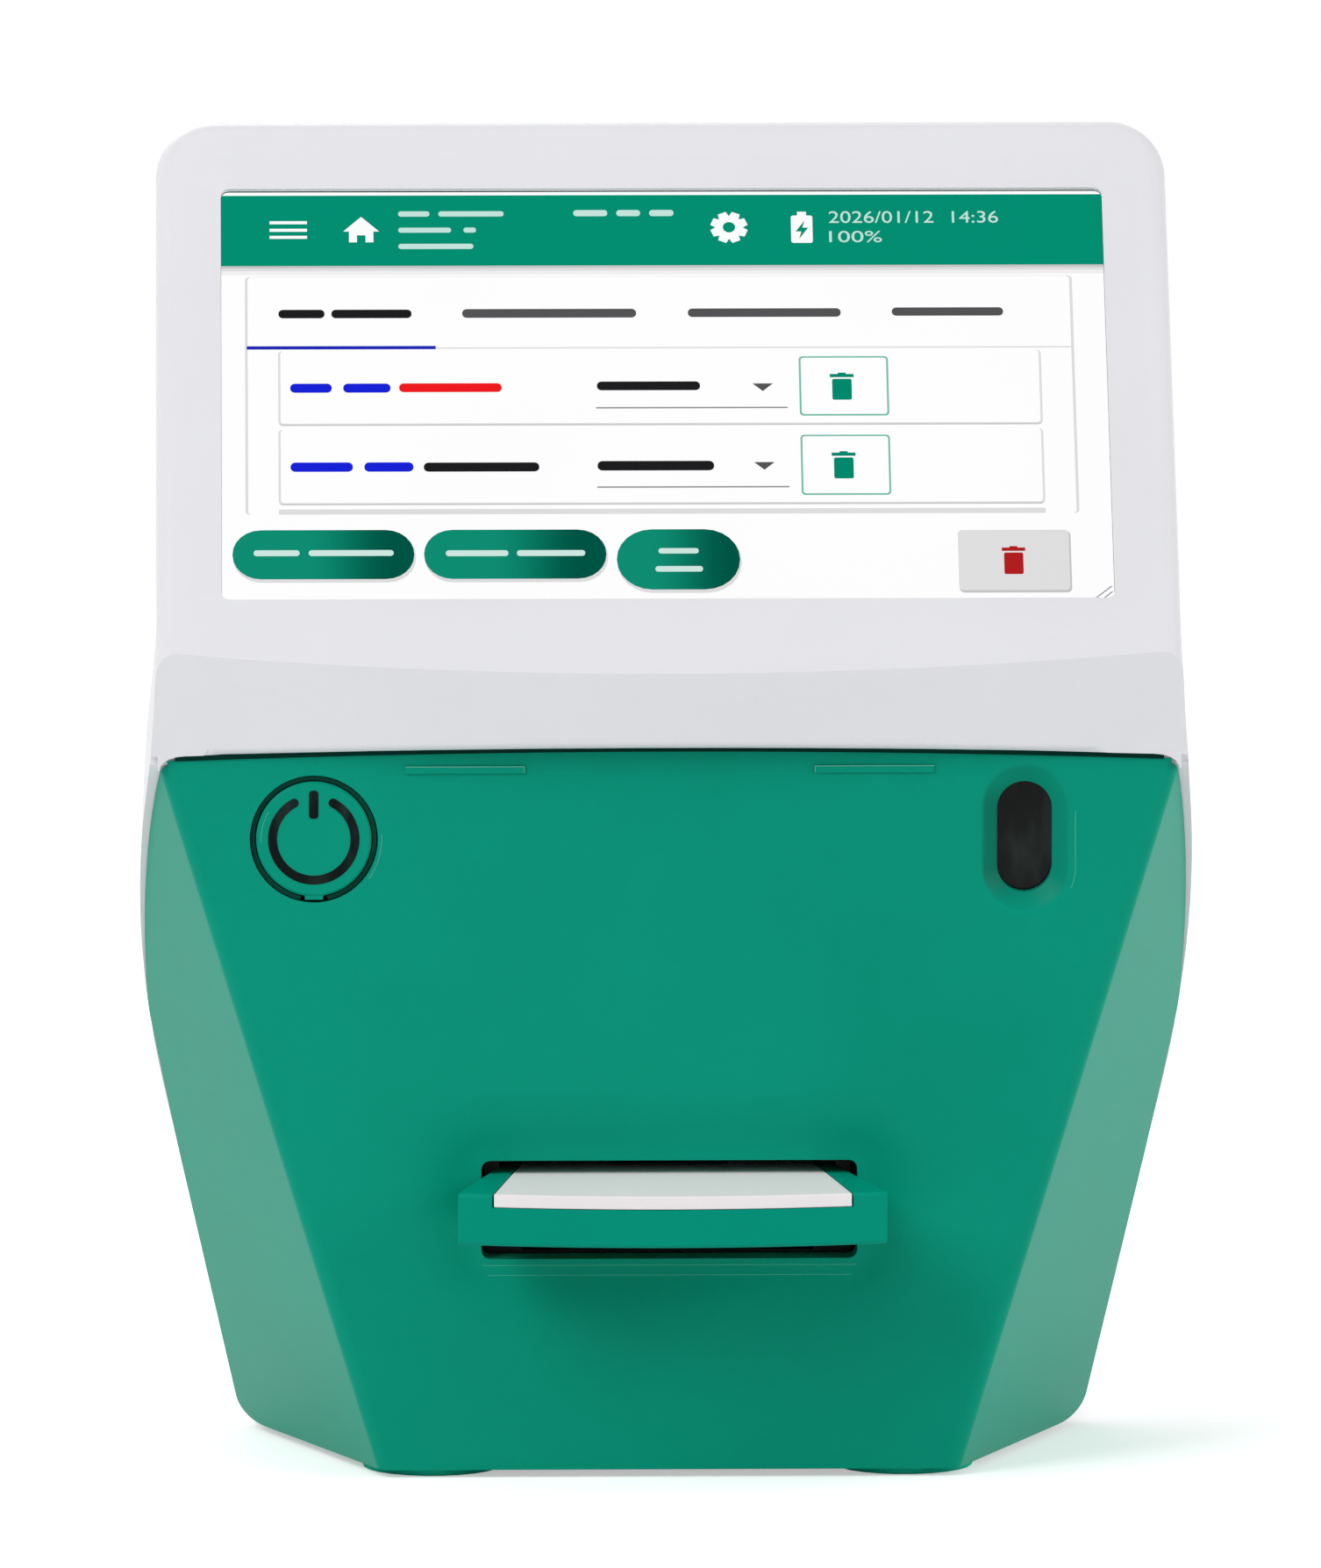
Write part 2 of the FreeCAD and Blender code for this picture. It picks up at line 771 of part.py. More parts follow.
def cover_pads():
    """Thickenings and posts behind the front cover."""
    pads = [front.slab(0, slot_z, dish_width + collar_wall * 2, dish_height + collar_wall, dish_corner,
                       wall / 2, wall + dish_depth),
            front.slab(0, slot_z, slot_width + collar_wall * 2, slot_height + collar_wall * 2,
                       slot_corner + collar_wall, wall / 2, collar_depth),
            front.slab(scan_x, scan_z, scan_dish_width, scan_dish_height, scan_dish_width / 2,
                       wall / 2, scan_dish_depth + wall)]
    for x, z in button_posts():
        pads.append(front.post(x, z, post_radius, wall / 2, button_board_front()))
    for x, z in scan_posts():
        pads.append(front.post(x, z, post_radius, wall / 2, scan_bracket_front()))
    for x in (-rib_x, rib_x):
        pads.append(box(x - rib_width / 2, x + rib_width / 2, -rib_proud, wall / 2,
                        rib_z - rib_height / 2, rib_z + rib_height / 2))
    middle = (tongue_half + tongue_inner_half) / 2
    width = tongue_half - tongue_inner_half
    top = hood_side_z + hood_arch + tongue_rise
    for x in (-middle, middle):
        pads.append(box(x - width / 2, x + width / 2, tongue_set_back, wall,
                        hood_side_z - tongue_rise, top))
    return pads


def front_cover():
    cover = cover_body().cut(cover_hollow(wall)).common(cover_zone(seam_gap, hood_gap))
    cover = cover.fuse(cover_pads())
    cover = cover.cut(dished(front, 0, slot_z, (dish_width, dish_height, dish_corner),
                             (dish_inner_width, dish_inner_height, dish_inner_corner), dish_depth))
    cover = cover.cut(front.slab(0, slot_z, slot_width, slot_height, slot_corner, -wall, tip))
    cover = cover.cut(rod(button_hole_radius, front.at(button_x, button_z, -wall),
                          front.at(button_x, button_z, button_thickness + wall)))
    cover = cover.cut(dished(front, scan_x, scan_z,
                             (scan_dish_width, scan_dish_height, scan_dish_width / 2),
                             (scan_window_width, scan_window_height, scan_window_width / 2),
                             scan_dish_depth, 8))
    cover = cover.cut(front.slab(scan_x, scan_z, scan_window_width, scan_window_height,
                                 scan_window_width / 2, 0, tip, 8))
    holes = [screw_hole(Vec(x, button_board_front() + board_thickness, z), Vec(0, -1, 0))
             for x, z in button_posts()]
    holes += [screw_hole(Vec(x, scan_bracket_front() + bracket_sheet, z), Vec(0, -1, 0))
              for x, z in scan_posts()]
    return cover.cut([hole.common(behind(wall / 2)) for hole in holes])


def base_plate():
    inset = wall + part_gap
    plate = inner_block(inset, 0).common(body_prism(0, body_bottom, inset, body_depth, bottom_corner))
    for side in (-1, 1):
        plate = plate.cut(beyond_facet(side, inset))
    plate = plate.common(box(-tip, tip, -tip, tip * 2, body_bottom, base_top))
    holes = [bore(screw_radius + screw_clearance, point, point - Vec(0, 0, guide_screw_length + part_gap))
             for point in guide_screw_points()]
    for x, y in base_boss_points:
        under = Vec(x, y, body_bottom - wall)
        holes.append(bore(screw_radius + screw_clearance, under, Vec(x, y, base_top + wall)))
        holes.append(prism(screw_head_radius + part_gap, under,
                           Vec(x, y, base_top - screw_head_height + part_gap), 12))
    return plate.cut(holes)


def foot(x, y):
    """A round foot, a little narrower where it stands."""
    up = Vec(0, 0, body_bottom)
    return frustum(around(Vec(x, y, 0), up, foot_radius - foot_edge, 24),
                   around(Vec(x, y, body_bottom), up, foot_radius, 24))


# Power button and its switch

def button_board_front():
    return (button_thickness + button_stem_length + button_press_gap + switch_plunger_height
            + switch_height)


def button_posts():
    rise = button_board_height / 2 - post_radius
    return [(button_x, button_z - rise), (button_x, button_z + rise - post_radius)]


def power_button():
    shoulder = front.at(button_x, button_z, button_edge)
    cap = prism(button_radius, shoulder, front.at(button_x, button_z, button_thickness), 48)
    face = around(front.at(button_x, button_z, 0), front.n, button_radius - button_edge, 48)
    cap = cap.fuse(frustum(face, around(shoulder, front.n, button_radius, 48)))
    web_end = button_z - button_hole_radius + button_web_gap
    web = box(button_x - button_web_width / 2, button_x + button_web_width / 2,
              part_gap, part_gap + button_web_thickness, web_end, button_z - button_radius * 0.8)
    stem = front.post(button_x, button_z, button_stem_radius, button_thickness / 2,
                      button_thickness + button_stem_length)
    return cap.fuse([web, stem]).removeSplitter()


def button_board():
    start = button_board_front()
    board = front.slab(button_x, button_z, button_board_width, button_board_height, 0,
                       start, start + board_thickness)
    return board.cut([screw_hole(front.at(x, z, start), front.n) for x, z in button_posts()])


def button_switch():
    back = button_board_front()
    case = front.slab(button_x, button_z, switch_size, switch_size, 0, back - switch_height, back)
    top = back - switch_height - switch_plunger_height
    return case.fuse(front.post(button_x, button_z, switch_plunger_radius, top, back - switch_height / 2))


def button_screws():
    start = button_board_front() + board_thickness
    return each([(x, z) for x, z in button_posts()],
                lambda x, z: screw(Vec(x, start, z), Vec(0, -1, 0), screw_length * 0.75))


# Scan window and reader

def scan_bracket_front():
    return scan_dish_depth + wall + pane_thickness + engine_gap + engine_depth


def scan_posts():
    return [(scan_x - scan_post_spacing / 4, scan_z - scan_post_spacing / 2 + post_radius),
            (scan_x - scan_post_spacing / 4, scan_z + scan_post_spacing / 2 - post_radius * 2)]


def scan_window():
    start = scan_dish_depth + wall
    width = scan_window_width + pane_margin * 2
    return front.slab(scan_x, scan_z, width, scan_window_height + pane_margin * 2, width / 2,
                      start, start + pane_thickness, 6)


def scan_engine():
    start = scan_dish_depth + wall + pane_thickness + engine_gap
    case = front.slab(scan_x, scan_z, engine_width, engine_height, 0, start, start + engine_depth)
    eye = prism(engine_eye_radius, front.at(scan_x, scan_z + engine_height / 5, start),
                front.at(scan_x, scan_z + engine_height / 5, start + engine_gap * 4), 16)
    lamp = front.slab(scan_x, scan_z - engine_height / 4, engine_width / 2, engine_height / 5, 0,
                      start, start + engine_gap * 3)
    return case.cut([eye, lamp])


def scan_bracket():
    start = scan_bracket_front()
    plate = front.slab(scan_x - engine_width / 4, scan_z - post_radius / 2, scan_bracket_width,
                       scan_post_spacing + post_radius, 0, start, start + bracket_sheet)
    return plate.cut([screw_hole(front.at(x, z, start), front.n) for x, z in scan_posts()])


def scan_screws():
    start = scan_bracket_front() + bracket_sheet
    return each(scan_posts(), lambda x, z: screw(Vec(x, start, z), Vec(0, -1, 0)))


# Drawer

def bow_at(x, half):
    radius = (drawer_front_half ** 2 + drawer_bow ** 2) / (2 * drawer_bow)
    return -drawer_reach - drawer_bow + radius - math.sqrt(radius ** 2 - x ** 2)


def drawer_outline(front_half, mouth_half, run_half, end_y, low, high):
    """Bowed front, flared handle sides and straight runners, from low to high."""
    nose = bow_at(0, front_half)
    half = [(0, nose), (front_half / 2, bow_at(front_half / 2, front_half), front_half,
                        bow_at(front_half, front_half)),
            (mouth_half, 0), (run_half, drawer_shoulder_y), (run_half, end_y), (0, end_y)]
    face = face_of(lambda a, b: Vec(a, b, low), both_sides(half))
    return face.extrude(Vec(0, 0, high - low))


def carrier_outline(gap, end_gap, low, high):
    share = drawer_reach / (drawer_reach + drawer_shoulder_y)
    mouth = carrier_front_half + (carrier_run_half - carrier_front_half) * share
    return drawer_outline(carrier_front_half + gap, mouth + gap, carrier_run_half + gap,
                          carrier_end_y + end_gap, low, high)


def bar_space(low, high):
    """The thick front of the handle, which only the carrier's lip passes over."""
    return box(-tip, tip, -tip, carrier_lip_length - drawer_reach, low, high)


def drawer_tray():
    mouth_half = slot_width / 2 - drawer_mouth_gap
    tray = drawer_outline(drawer_front_half, mouth_half, drawer_run_half, drawer_rear_y,
                          drawer_bottom, drawer_top)
    nose = edges_where(tray, lambda e: e.BoundBox.YMax < -drawer_reach / 2
                       and e.BoundBox.ZLength < seam_gap and e.BoundBox.XLength > drawer_front_half / 2)
    tray = tray.makeChamfer(drawer_edge, nose)
    pocket = carrier_outline(carrier_gap, carrier_gap, drawer_bottom + drawer_floor, drawer_top + wall)
    bar = bar_space(drawer_bottom, drawer_top - carrier_lip - carrier_gap / 3)
    tray = tray.cut(pocket.cut(bar))
    lug_y = drawer_rear_y - drawer_rear_wall
    lugs = [box(x - lug_width / 2, x + lug_width / 2, lug_y, lug_y + lug_length,
                drawer_bottom - lug_drop, drawer_bottom + drawer_floor / 2) for x in (-lug_x, lug_x)]
    lugs.append(box(-flag_width / 2, flag_width / 2, lug_y, lug_y + lug_length,
                    drawer_bottom - flag_drop, drawer_bottom + drawer_floor / 2))
    tray = tray.fuse(lugs)
    return tray.cut(prism(magnet_radius + magnet_clearance, magnet_at(-wall), magnet_at(magnet_length), 16))


def magnet_at(depth):
    return Vec(0, drawer_rear_y - depth, drawer_bottom + drawer_height / 2)


def drawer_magnet():
    return prism(magnet_radius, magnet_at(0), magnet_at(magnet_length), 16)


def cassette_carrier():
    body = carrier_outline(0, 0, drawer_bottom + drawer_floor, drawer_top)
    body = body.cut(bar_space(drawer_bottom, drawer_top - carrier_lip))
    middle = well_start_y + well_length / 2
    cut = ground.slab(0, middle, well_width, well_length, well_corner, drawer_top - well_depth, tip)
    scoop = Vec(0, middle, drawer_top + scoop_radius * 0.45)
    side = Vec(well_width * 0.9, 0, 0)
    scoops = rod(scoop_radius, scoop - side, scoop + side)
    return body.cut([cut, scoops])


# Drawer guide

guide_inner = drawer_run_half + guide_clearance
guide_end_y = drawer_rear_y + part_gap + keeper_plate_thickness
keeper_low = drawer_top + rail_gap
guide_top = keeper_low + keeper_height
guide_screw_length = guide_foot_height + base_thickness * 0.7


def drawer_guide():
    outer = guide_inner + guide_wall
    floor_low = guide_floor_top - guide_wall
    body = box(-outer, outer, guide_front_y, guide_end_y + guide_wall, floor_low, guide_top)
    body = body.cut(box(-guide_inner, guide_inner, -tip, guide_end_y, guide_floor_top, tip))
    rail_top = drawer_bottom - rail_gap
    added = []
    for side in (-1, 1):
        inner = side * (guide_inner + guide_wall / 2)
        rail = side * (guide_inner - rail_width)
        flange = side * (guide_inner - keeper_flange + guide_clearance)
        added.append(box(min(inner, rail), max(inner, rail), guide_front_y, guide_end_y,
                         guide_floor_top - guide_wall / 2, rail_top))
        added.append(box(min(inner, flange), max(inner, flange), guide_front_y, guide_end_y,
                         keeper_low, guide_top))
        for y in guide_leg_ys():
            leg = side * guide_inner
            out = side * outer
            added.append(box(min(leg, out), max(leg, out), y, y + guide_leg_length, base_top,
                             floor_low + guide_wall / 2))
            foot_in = side * (guide_inner - guide_foot_length)
            added.append(box(min(out, foot_in), max(out, foot_in), y, y + guide_leg_length,
                             base_top, base_top + guide_foot_height))
    for x in (-lug_x, lug_x):
        stop_y = drawer_rear_y - drawer_rear_wall - drawer_travel - part_gap
        added.append(box(x - lug_width / 2, x + lug_width / 2, stop_y - lug_length, stop_y,
                         guide_floor_top - guide_wall / 2, rail_top))
    body = body.fuse(added)
    holes = [bore(screw_radius + screw_clearance, point, point - Vec(0, 0, tip))
             for point in guide_screw_points()]
    return body.cut(holes).removeSplitter()


def guide_leg_ys():
    return (guide_front_y, guide_end_y + guide_wall - guide_leg_length)


def guide_screw_points():
    x = guide_inner - guide_foot_length / 2
    top = base_top + guide_foot_height
    return [Vec(side * x, y + guide_leg_length / 2, top) for side in (-1, 1) for y in guide_leg_ys()]


def guide_screws():
    return each([(point,) for point in guide_screw_points()],
                lambda point: screw(point, Vec(0, 0, -1), guide_screw_length))


def keeper_plate():
    middle = drawer_bottom + drawer_height / 2
    return box(-keeper_plate_width / 2, keeper_plate_width / 2, guide_end_y - keeper_plate_thickness,
               guide_end_y, middle - keeper_plate_height / 2, middle + keeper_plate_height / 2)


def drawer_sensor():
    y = drawer_rear_y - drawer_rear_wall + lug_length / 2
    block = box(-fork_width / 2, fork_width / 2, y - fork_depth / 2, y + fork_depth / 2,
                guide_floor_top, drawer_bottom - part_gap * 2)
    return block.cut(box(-fork_gap / 2, fork_gap / 2, -tip, tip * 2, guide_floor_top + fork_base, tip))


# Camera tower

tower_low = guide_top
tower_top = tower_low + tower_height


def tower_section(width, length, z):
    return ground.oblong(0, tower_middle_y, width, length, 0, z)


def camera_tower():
    top = tower_top_width
    low = tower_low + tower_flange
    outer = frustum(tower_section(tower_base_width, tower_base_length, low),
                    tower_section(top, top, tower_top))
    thin = tower_wall * 2
    inner = frustum(tower_section(tower_base_width - thin, tower_base_length - thin, low),
                    tower_section(top - thin, top - thin, tower_top - tower_wall))
    half = guide_inner + guide_wall
    start = tower_middle_y - tower_base_length / 2
    flange = box(-half, half, start, start + tower_base_length, tower_low, low)
    holes = [ground.slab(0, tower_middle_y, tower_window_width, light_board_length, 0,
                         tower_low - wall, low + wall),
             prism(lens_radius + lens_clearance, Vec(0, tower_middle_y, tower_top - tip / 6),
                   Vec(0, tower_middle_y, tower_top + wall), 16)]
    holes += [screw_hole(Vec(x, y, tower_top + board_thickness), Vec(0, 0, -1)) for x, y in camera_points()]
    return outer.cut(inner).fuse(flange).cut(holes)


def camera_points():
    reach = camera_board_width / 2 - screw_head_radius
    return [(side * reach, tower_middle_y + end * reach) for side in (-1, 1) for end in (-1, 1)]


def camera_board():
    top = tower_top + board_thickness
    board = ground.slab(0, tower_middle_y, camera_board_width, camera_board_width, 0, tower_top, top)
    chip = ground.slab(0, tower_middle_y, chip_size / 2, chip_size / 2, 0, top, top + chip_height)
    return board.fuse(chip).cut([screw_hole(Vec(x, y, top), Vec(0, 0, -1)) for x, y in camera_points()])


def camera_lens():
    top = Vec(0, tower_middle_y, tower_top)
    mouth = top - Vec(0, 0, lens_length)
    recess = prism(lens_glass_radius, mouth, mouth + Vec(0, 0, lens_rim), 16)
    return prism(lens_radius, top, mouth, 16).cut(recess)


def camera_screws():
    top = tower_top + board_thickness
    length = board_thickness + tower_wall
    return each(camera_points(), lambda x, y: screw(Vec(x, y, top), Vec(0, 0, -1), length))


def light_board(side):
    z = tower_low + tower_flange
    x = side * (tower_window_width + light_board_width + part_gap * 2) / 2
    strip = ground.slab(x, tower_middle_y, light_board_width, light_board_length, 0, z, z + light_height)
    step = light_board_length / light_count
    for i in range(light_count):
        y = tower_middle_y + (i - (light_count - 1) / 2) * step
        light = ground.slab(x, y, light_size, light_size, 0, z + light_height / 2, z + light_height * 2)
        strip = strip.fuse(light)
    return strip


# Screen stack

def display_gasket():
    start = recess_depth + frame_lip
    ring = screen.slab(0, window_middle, glass_width, glass_height, glass_corner,
                       start, start + gasket_thickness)
    return ring.cut(screen.slab(0, window_middle, window_width + part_gap, window_height + part_gap,
                                window_corner, 0, tip))


def touch_glass():
    return screen.slab(0, window_middle, glass_width, glass_height, glass_corner,
                       glass_face, glass_face + glass_thickness)


def display_panel():
    return screen.slab(0, window_middle, glass_width - panel_inset * 2, glass_height - panel_inset * 2, 0,
                       glass_face + glass_thickness + stack_gap, panel_back)


def display_bracket():
    width = (head_half - wall - part_gap) * 2
    sheet = screen.slab(0, window_middle, width, glass_height - sheet_overlap * 2, 0,
                        sheet_front, sheet_front + sheet_thickness)
    cuts = [screen.slab(side * sheet_hole_width * 0.6, window_middle, sheet_hole_width, sheet_hole_height,
                        0, 0, tip) for side in (-1, 1)]
    cuts += [screw_hole(screen.at(x, rise, sheet_front), screen.n) for x, rise in screen_posts]
    return sheet.cut(cuts)


def display_lifts():
    x = display_board_width / 2 - sheet_overlap
    rise = sheet_hole_height / 2 + sheet_overlap
    return [(side * x, window_middle + end * rise) for side in (-1, 1) for end in (-1, 1)]


def display_board():
    start = sheet_front + sheet_thickness
    height = sheet_hole_height + sheet_overlap * 4
    back = start + display_board_lift + board_thickness
    board = screen.slab(0, window_middle, display_board_width, height, 0, start + display_board_lift, back)
    chip = screen.slab(chip_size / 2, window_middle, chip_size, chip_size, 0, back, back + chip_height)
    plug = screen.slab(-chip_size, window_middle, chip_size, wall * 2, 0, back, back + chip_height * 1.5)
    return board.fuse([chip, plug])


def display_spacers():
    start = sheet_front + sheet_thickness
    return each(display_lifts(), lambda x, rise: screen.post(x, rise, standoff_radius, start,
                                                             start + display_board_lift))


def display_screws():
    start = sheet_front + sheet_thickness
    return each(screen_posts, lambda x, rise: screw(screen.at(x, rise, start), screen.n * -1))


# Main board, sockets and power

main_board_back_y = body_depth - wall - part_gap * 2
board_top = main_board_z + board_thickness


def socket_mouths():
    """Centre, size and corner radius of each hole that the rear cover needs."""
    mouths = [(x, board_top + usb_height / 2, usb_width, usb_height, usb_wall) for x in usb_xs]
    mouths.append((network_x, board_top + network_height / 2, network_width, network_height, usb_wall))
    mouths.append((inlet_x, board_top + inlet_size / 2, inlet_size, inlet_size, usb_wall))
    return mouths


def standoff_points():
    x = main_board_half - standoff_inset
    return [(side * x, y) for side in (-1, 1)
            for y in (main_board_front_y + standoff_inset, main_board_back_y - standoff_inset * 3)]


def main_board():
    board = box(-main_board_half, main_board_half, main_board_front_y, main_board_back_y,
                main_board_z, board_top)
    y = main_board_front_y + chip_size
    low = board_top - board_thickness / 2
    board = board.fuse([ground.slab(0, y, chip_size, chip_size, 0, low, board_top + chip_height),
                        ground.slab(-chip_size * 1.5, y, chip_size / 2, chip_size / 2, 0, low,
                                    board_top + chip_height),
                        ground.slab(chip_size * 1.6, y, chip_size / 2, chip_size / 2, 0, low,
                                    board_top + chip_height)])
    leg_y = guide_leg_ys()[1]
    cuts = [screw_hole(Vec(x, y, board_top), Vec(0, 0, -1)) for x, y in standoff_points()]
    reach = guide_inner + guide_wall + part_gap * 2
    for side in (-1, 1):
        a = side * (guide_inner - part_gap * 2)
        cuts.append(box(min(a, side * reach), max(a, side * reach), leg_y - part_gap * 2,
                        leg_y + guide_leg_length + part_gap * 2, 0, tip))
    return board.cut(cuts)


def standoff(x, y):
    post = prism(standoff_radius, Vec(x, y, base_top), Vec(x, y, main_board_z), 6)
    return post.cut(bore(screw_radius + screw_clearance, Vec(x, y, base_top + wall / 2), Vec(x, y, tip)))


def standoffs():
    return each(standoff_points(), standoff)


def board_screws():
    length = screw_length * 0.75
    return each(standoff_points(), lambda x, y: screw(Vec(x, y, board_top), Vec(0, 0, -1), length))


def heat_sink():
    low = board_top + chip_height
    y = main_board_front_y + chip_size
    half = chip_size / 2
    block = box(-half, half, y - half, y + half, low, low + sink_height)
    pitch = (chip_size - sink_fin) / (sink_fins - 1)
    gaps = [box(-half + sink_fin + i * pitch, -half + (i + 1) * pitch, -tip, tip * 2, low + sink_foot, tip)
            for i in range(sink_fins - 1)]
    return block.cut(gaps)


def usb_socket(x):
    front_face = body_depth - socket_proud
    back = front_face - usb_depth
    z = board_top
    case = box(x - usb_width / 2, x + usb_width / 2, back, front_face, z, z + usb_height)
    hollow_half = usb_width / 2 - usb_wall
    hollow = box(x - hollow_half, x + hollow_half, back + usb_wall * 2, tip * 2,
                 z + usb_wall, z + usb_height - usb_wall)
    tongue_top = z + usb_height - usb_wall * 2
    tongue = box(x - usb_width * 0.42, x + usb_width * 0.42, back + usb_wall, front_face - usb_wall * 4,
                 tongue_top - usb_tongue, tongue_top)
    return case.cut(hollow).fuse(tongue)


def network_socket():
    front_face = body_depth - socket_proud
    back = front_face - network_depth
    z = board_top
    half = network_width / 2
    mouth_half = network_mouth_width / 2
    mouth_top = z + network_sill + network_mouth_height
    case = box(network_x - half, network_x + half, back, front_face, z, z + network_height)
    mouth = box(network_x - mouth_half, network_x + mouth_half, front_face - network_mouth_depth, tip * 2,
                z + network_sill, mouth_top)
    key = box(network_x - mouth_half / 2, network_x + mouth_half / 2, front_face - network_mouth_depth,
              tip * 2, mouth_top - usb_wall, mouth_top + network_sill * 0.7)
    return case.cut([mouth, key])


def power_inlet():
    front_face = body_depth - socket_proud
    z = board_top + inlet_size / 2
    case = box(inlet_x - inlet_size / 2, inlet_x + inlet_size / 2, front_face - inlet_depth, front_face,
               board_top, board_top + inlet_size)
    start = Vec(inlet_x, front_face - inlet_depth * 0.75, z)
    mouth = prism(inlet_bore_radius, start, Vec(inlet_x, tip * 2, z), 16)
    pin = prism(inlet_pin_radius, start - Vec(0, wall / 2, 0), Vec(inlet_x, front_face - wall / 2, z))
    return case.cut(mouth).fuse(pin)


# Battery on the back of the guide, and the speaker

cradle_front_y = guide_front_y + tower_base_length + part_gap
cradle_y = cradle_front_y + cradle_wall + cradle_clearance
battery_low = guide_top + cradle_wall


def battery_pack():
    return ground.slab(0, cradle_y + battery_depth / 2, battery_width, battery_depth, wall,
                       battery_low, battery_low + battery_height, 2)


def both_ends(inner, outer, y0, low, high):
    """A pair of blocks, one on each side, as long as the strap is wide."""
    return [box(min(side * inner, side * outer), max(side * inner, side * outer), y0, y0 + strap_width,
                low, high) for side in (-1, 1)]


cradle_half = battery_width / 2 + cradle_clearance + cradle_wall
strap_y = cradle_y + (battery_depth - strap_width) / 2
strap_inner = cradle_half + part_gap
strap_outer = strap_inner + strap_sheet


def battery_cradle():
    depth = battery_depth + (cradle_clearance + cradle_wall) * 2
    block = box(-cradle_half, cradle_half, cradle_front_y, cradle_front_y + depth, guide_top,
                battery_low + cradle_rim)
    hollow = box(cradle_wall - cradle_half, cradle_half - cradle_wall, cradle_front_y + cradle_wall,
                 cradle_front_y + depth - cradle_wall, battery_low, tip * 2)
    ears = both_ends(cradle_half - cradle_wall, strap_outer + strap_foot, strap_y, guide_top,
                     guide_top + cradle_wall)
    return block.cut(hollow).fuse(ears)


def battery_strap():
    top = battery_low + battery_height + part_gap
    low = guide_top + cradle_wall
    arch = box(-strap_outer, strap_outer, strap_y, strap_y + strap_width, low, top + strap_sheet)
    arch = arch.cut(box(-strap_inner, strap_inner, -tip, tip * 2, 0, top))
    feet = both_ends(strap_inner, strap_outer + strap_foot, strap_y, low, low + strap_sheet)
    return arch.fuse(feet).removeSplitter()


def speaker():
    face = Vec(speaker_x, body_depth - wall, speaker_z)
    back = face - Vec(0, speaker_height / 3, 0)
    case = prism(speaker_radius, face, back, 16)
    cone = prism(speaker_radius * 0.8, face, face - Vec(0, speaker_height / 5, 0), 16)
    magnet = prism(speaker_radius * 0.55, back, face - Vec(0, speaker_height, 0), 16)
    return case.cut(cone).fuse(magnet)


def base_screws():
    z = base_top - screw_head_height + part_gap
    return each(base_boss_points, lambda x, y: socket_screw(Vec(x, y, z), Vec(0, 0, 1)))


def rear_screws():
    face = body_depth - screw_head_height
    return each(rear_bosses, lambda x, z: socket_screw(Vec(x, face, z), Vec(0, -1, 0), screw_length + wall))


pieces = {
    "upper_housing": upper_housing(), "front_cover": front_cover(), "rear_cover": rear_cover(),
    "base_plate": base_plate(), "feet": each(foot_points, foot), "base_screws": base_screws(),
    "rear_screws": rear_screws(), "display_gasket": display_gasket(), "touch_glass": touch_glass(),
    "display_panel": display_panel(), "display_bracket": display_bracket(),
    "display_screws": display_screws(), "display_spacers": display_spacers(),
    "display_board": display_board(), "power_button": power_button(), "button_board": button_board(),
    "button_switch": button_switch(), "button_screws": button_screws(), "scan_window": scan_window(),
    "scan_engine": scan_engine(), "scan_bracket": scan_bracket(), "scan_screws": scan_screws(),
    "drawer_tray": drawer_tray(), "cassette_carrier": cassette_carrier(), "drawer_magnet": drawer_magnet(),
    "drawer_guide": drawer_guide(), "guide_screws": guide_screws(), "keeper_plate": keeper_plate(),
    "drawer_sensor": drawer_sensor(), "camera_tower": camera_tower(), "camera_board": camera_board(),
    "camera_lens": camera_lens(), "camera_screws": camera_screws(),
    "light_boards": each([(-1,), (1,)], light_board), "main_board": main_board(),
    "standoffs": standoffs(), "board_screws": board_screws(), "heat_sink": heat_sink(),
    "usb_sockets": each([(x,) for x in usb_xs], usb_socket), "network_socket": network_socket(),
    "power_inlet": power_inlet(), "battery_cradle": battery_cradle(), "battery_pack": battery_pack(),
    "battery_strap": battery_strap(), "speaker": speaker(),
}

os.makedirs("parts", exist_ok=True)
for name, shape in pieces.items():
    shape.translate(Vec(0, front_y, 0))
    shape.exportStep("parts/" + name + ".step")
    print(name, len(shape.Solids), "solids,", round(shape.Volume), "mm3, valid", shape.isValid())
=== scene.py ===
import json
import math

import bmesh
import bpy
from mathutils import Matrix, Vector


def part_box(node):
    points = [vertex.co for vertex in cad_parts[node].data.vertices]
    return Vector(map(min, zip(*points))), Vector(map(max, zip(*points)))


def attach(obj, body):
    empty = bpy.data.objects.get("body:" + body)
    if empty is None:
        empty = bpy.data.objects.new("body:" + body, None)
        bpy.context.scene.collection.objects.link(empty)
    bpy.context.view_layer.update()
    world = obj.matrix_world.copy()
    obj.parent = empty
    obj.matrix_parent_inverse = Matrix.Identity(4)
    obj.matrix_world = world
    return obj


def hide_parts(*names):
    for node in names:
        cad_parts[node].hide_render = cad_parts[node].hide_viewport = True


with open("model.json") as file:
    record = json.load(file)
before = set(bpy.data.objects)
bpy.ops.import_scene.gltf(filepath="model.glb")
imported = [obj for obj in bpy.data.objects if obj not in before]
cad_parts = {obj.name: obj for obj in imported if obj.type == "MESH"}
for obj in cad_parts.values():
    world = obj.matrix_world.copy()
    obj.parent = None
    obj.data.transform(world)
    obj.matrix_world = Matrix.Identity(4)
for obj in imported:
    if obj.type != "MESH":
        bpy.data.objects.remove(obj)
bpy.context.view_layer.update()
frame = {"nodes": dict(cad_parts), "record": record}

mm = 0.001
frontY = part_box("power_button")[0].y  # the flat green front
print("frame loaded, front face at", round(frontY / mm, 2), "mm")


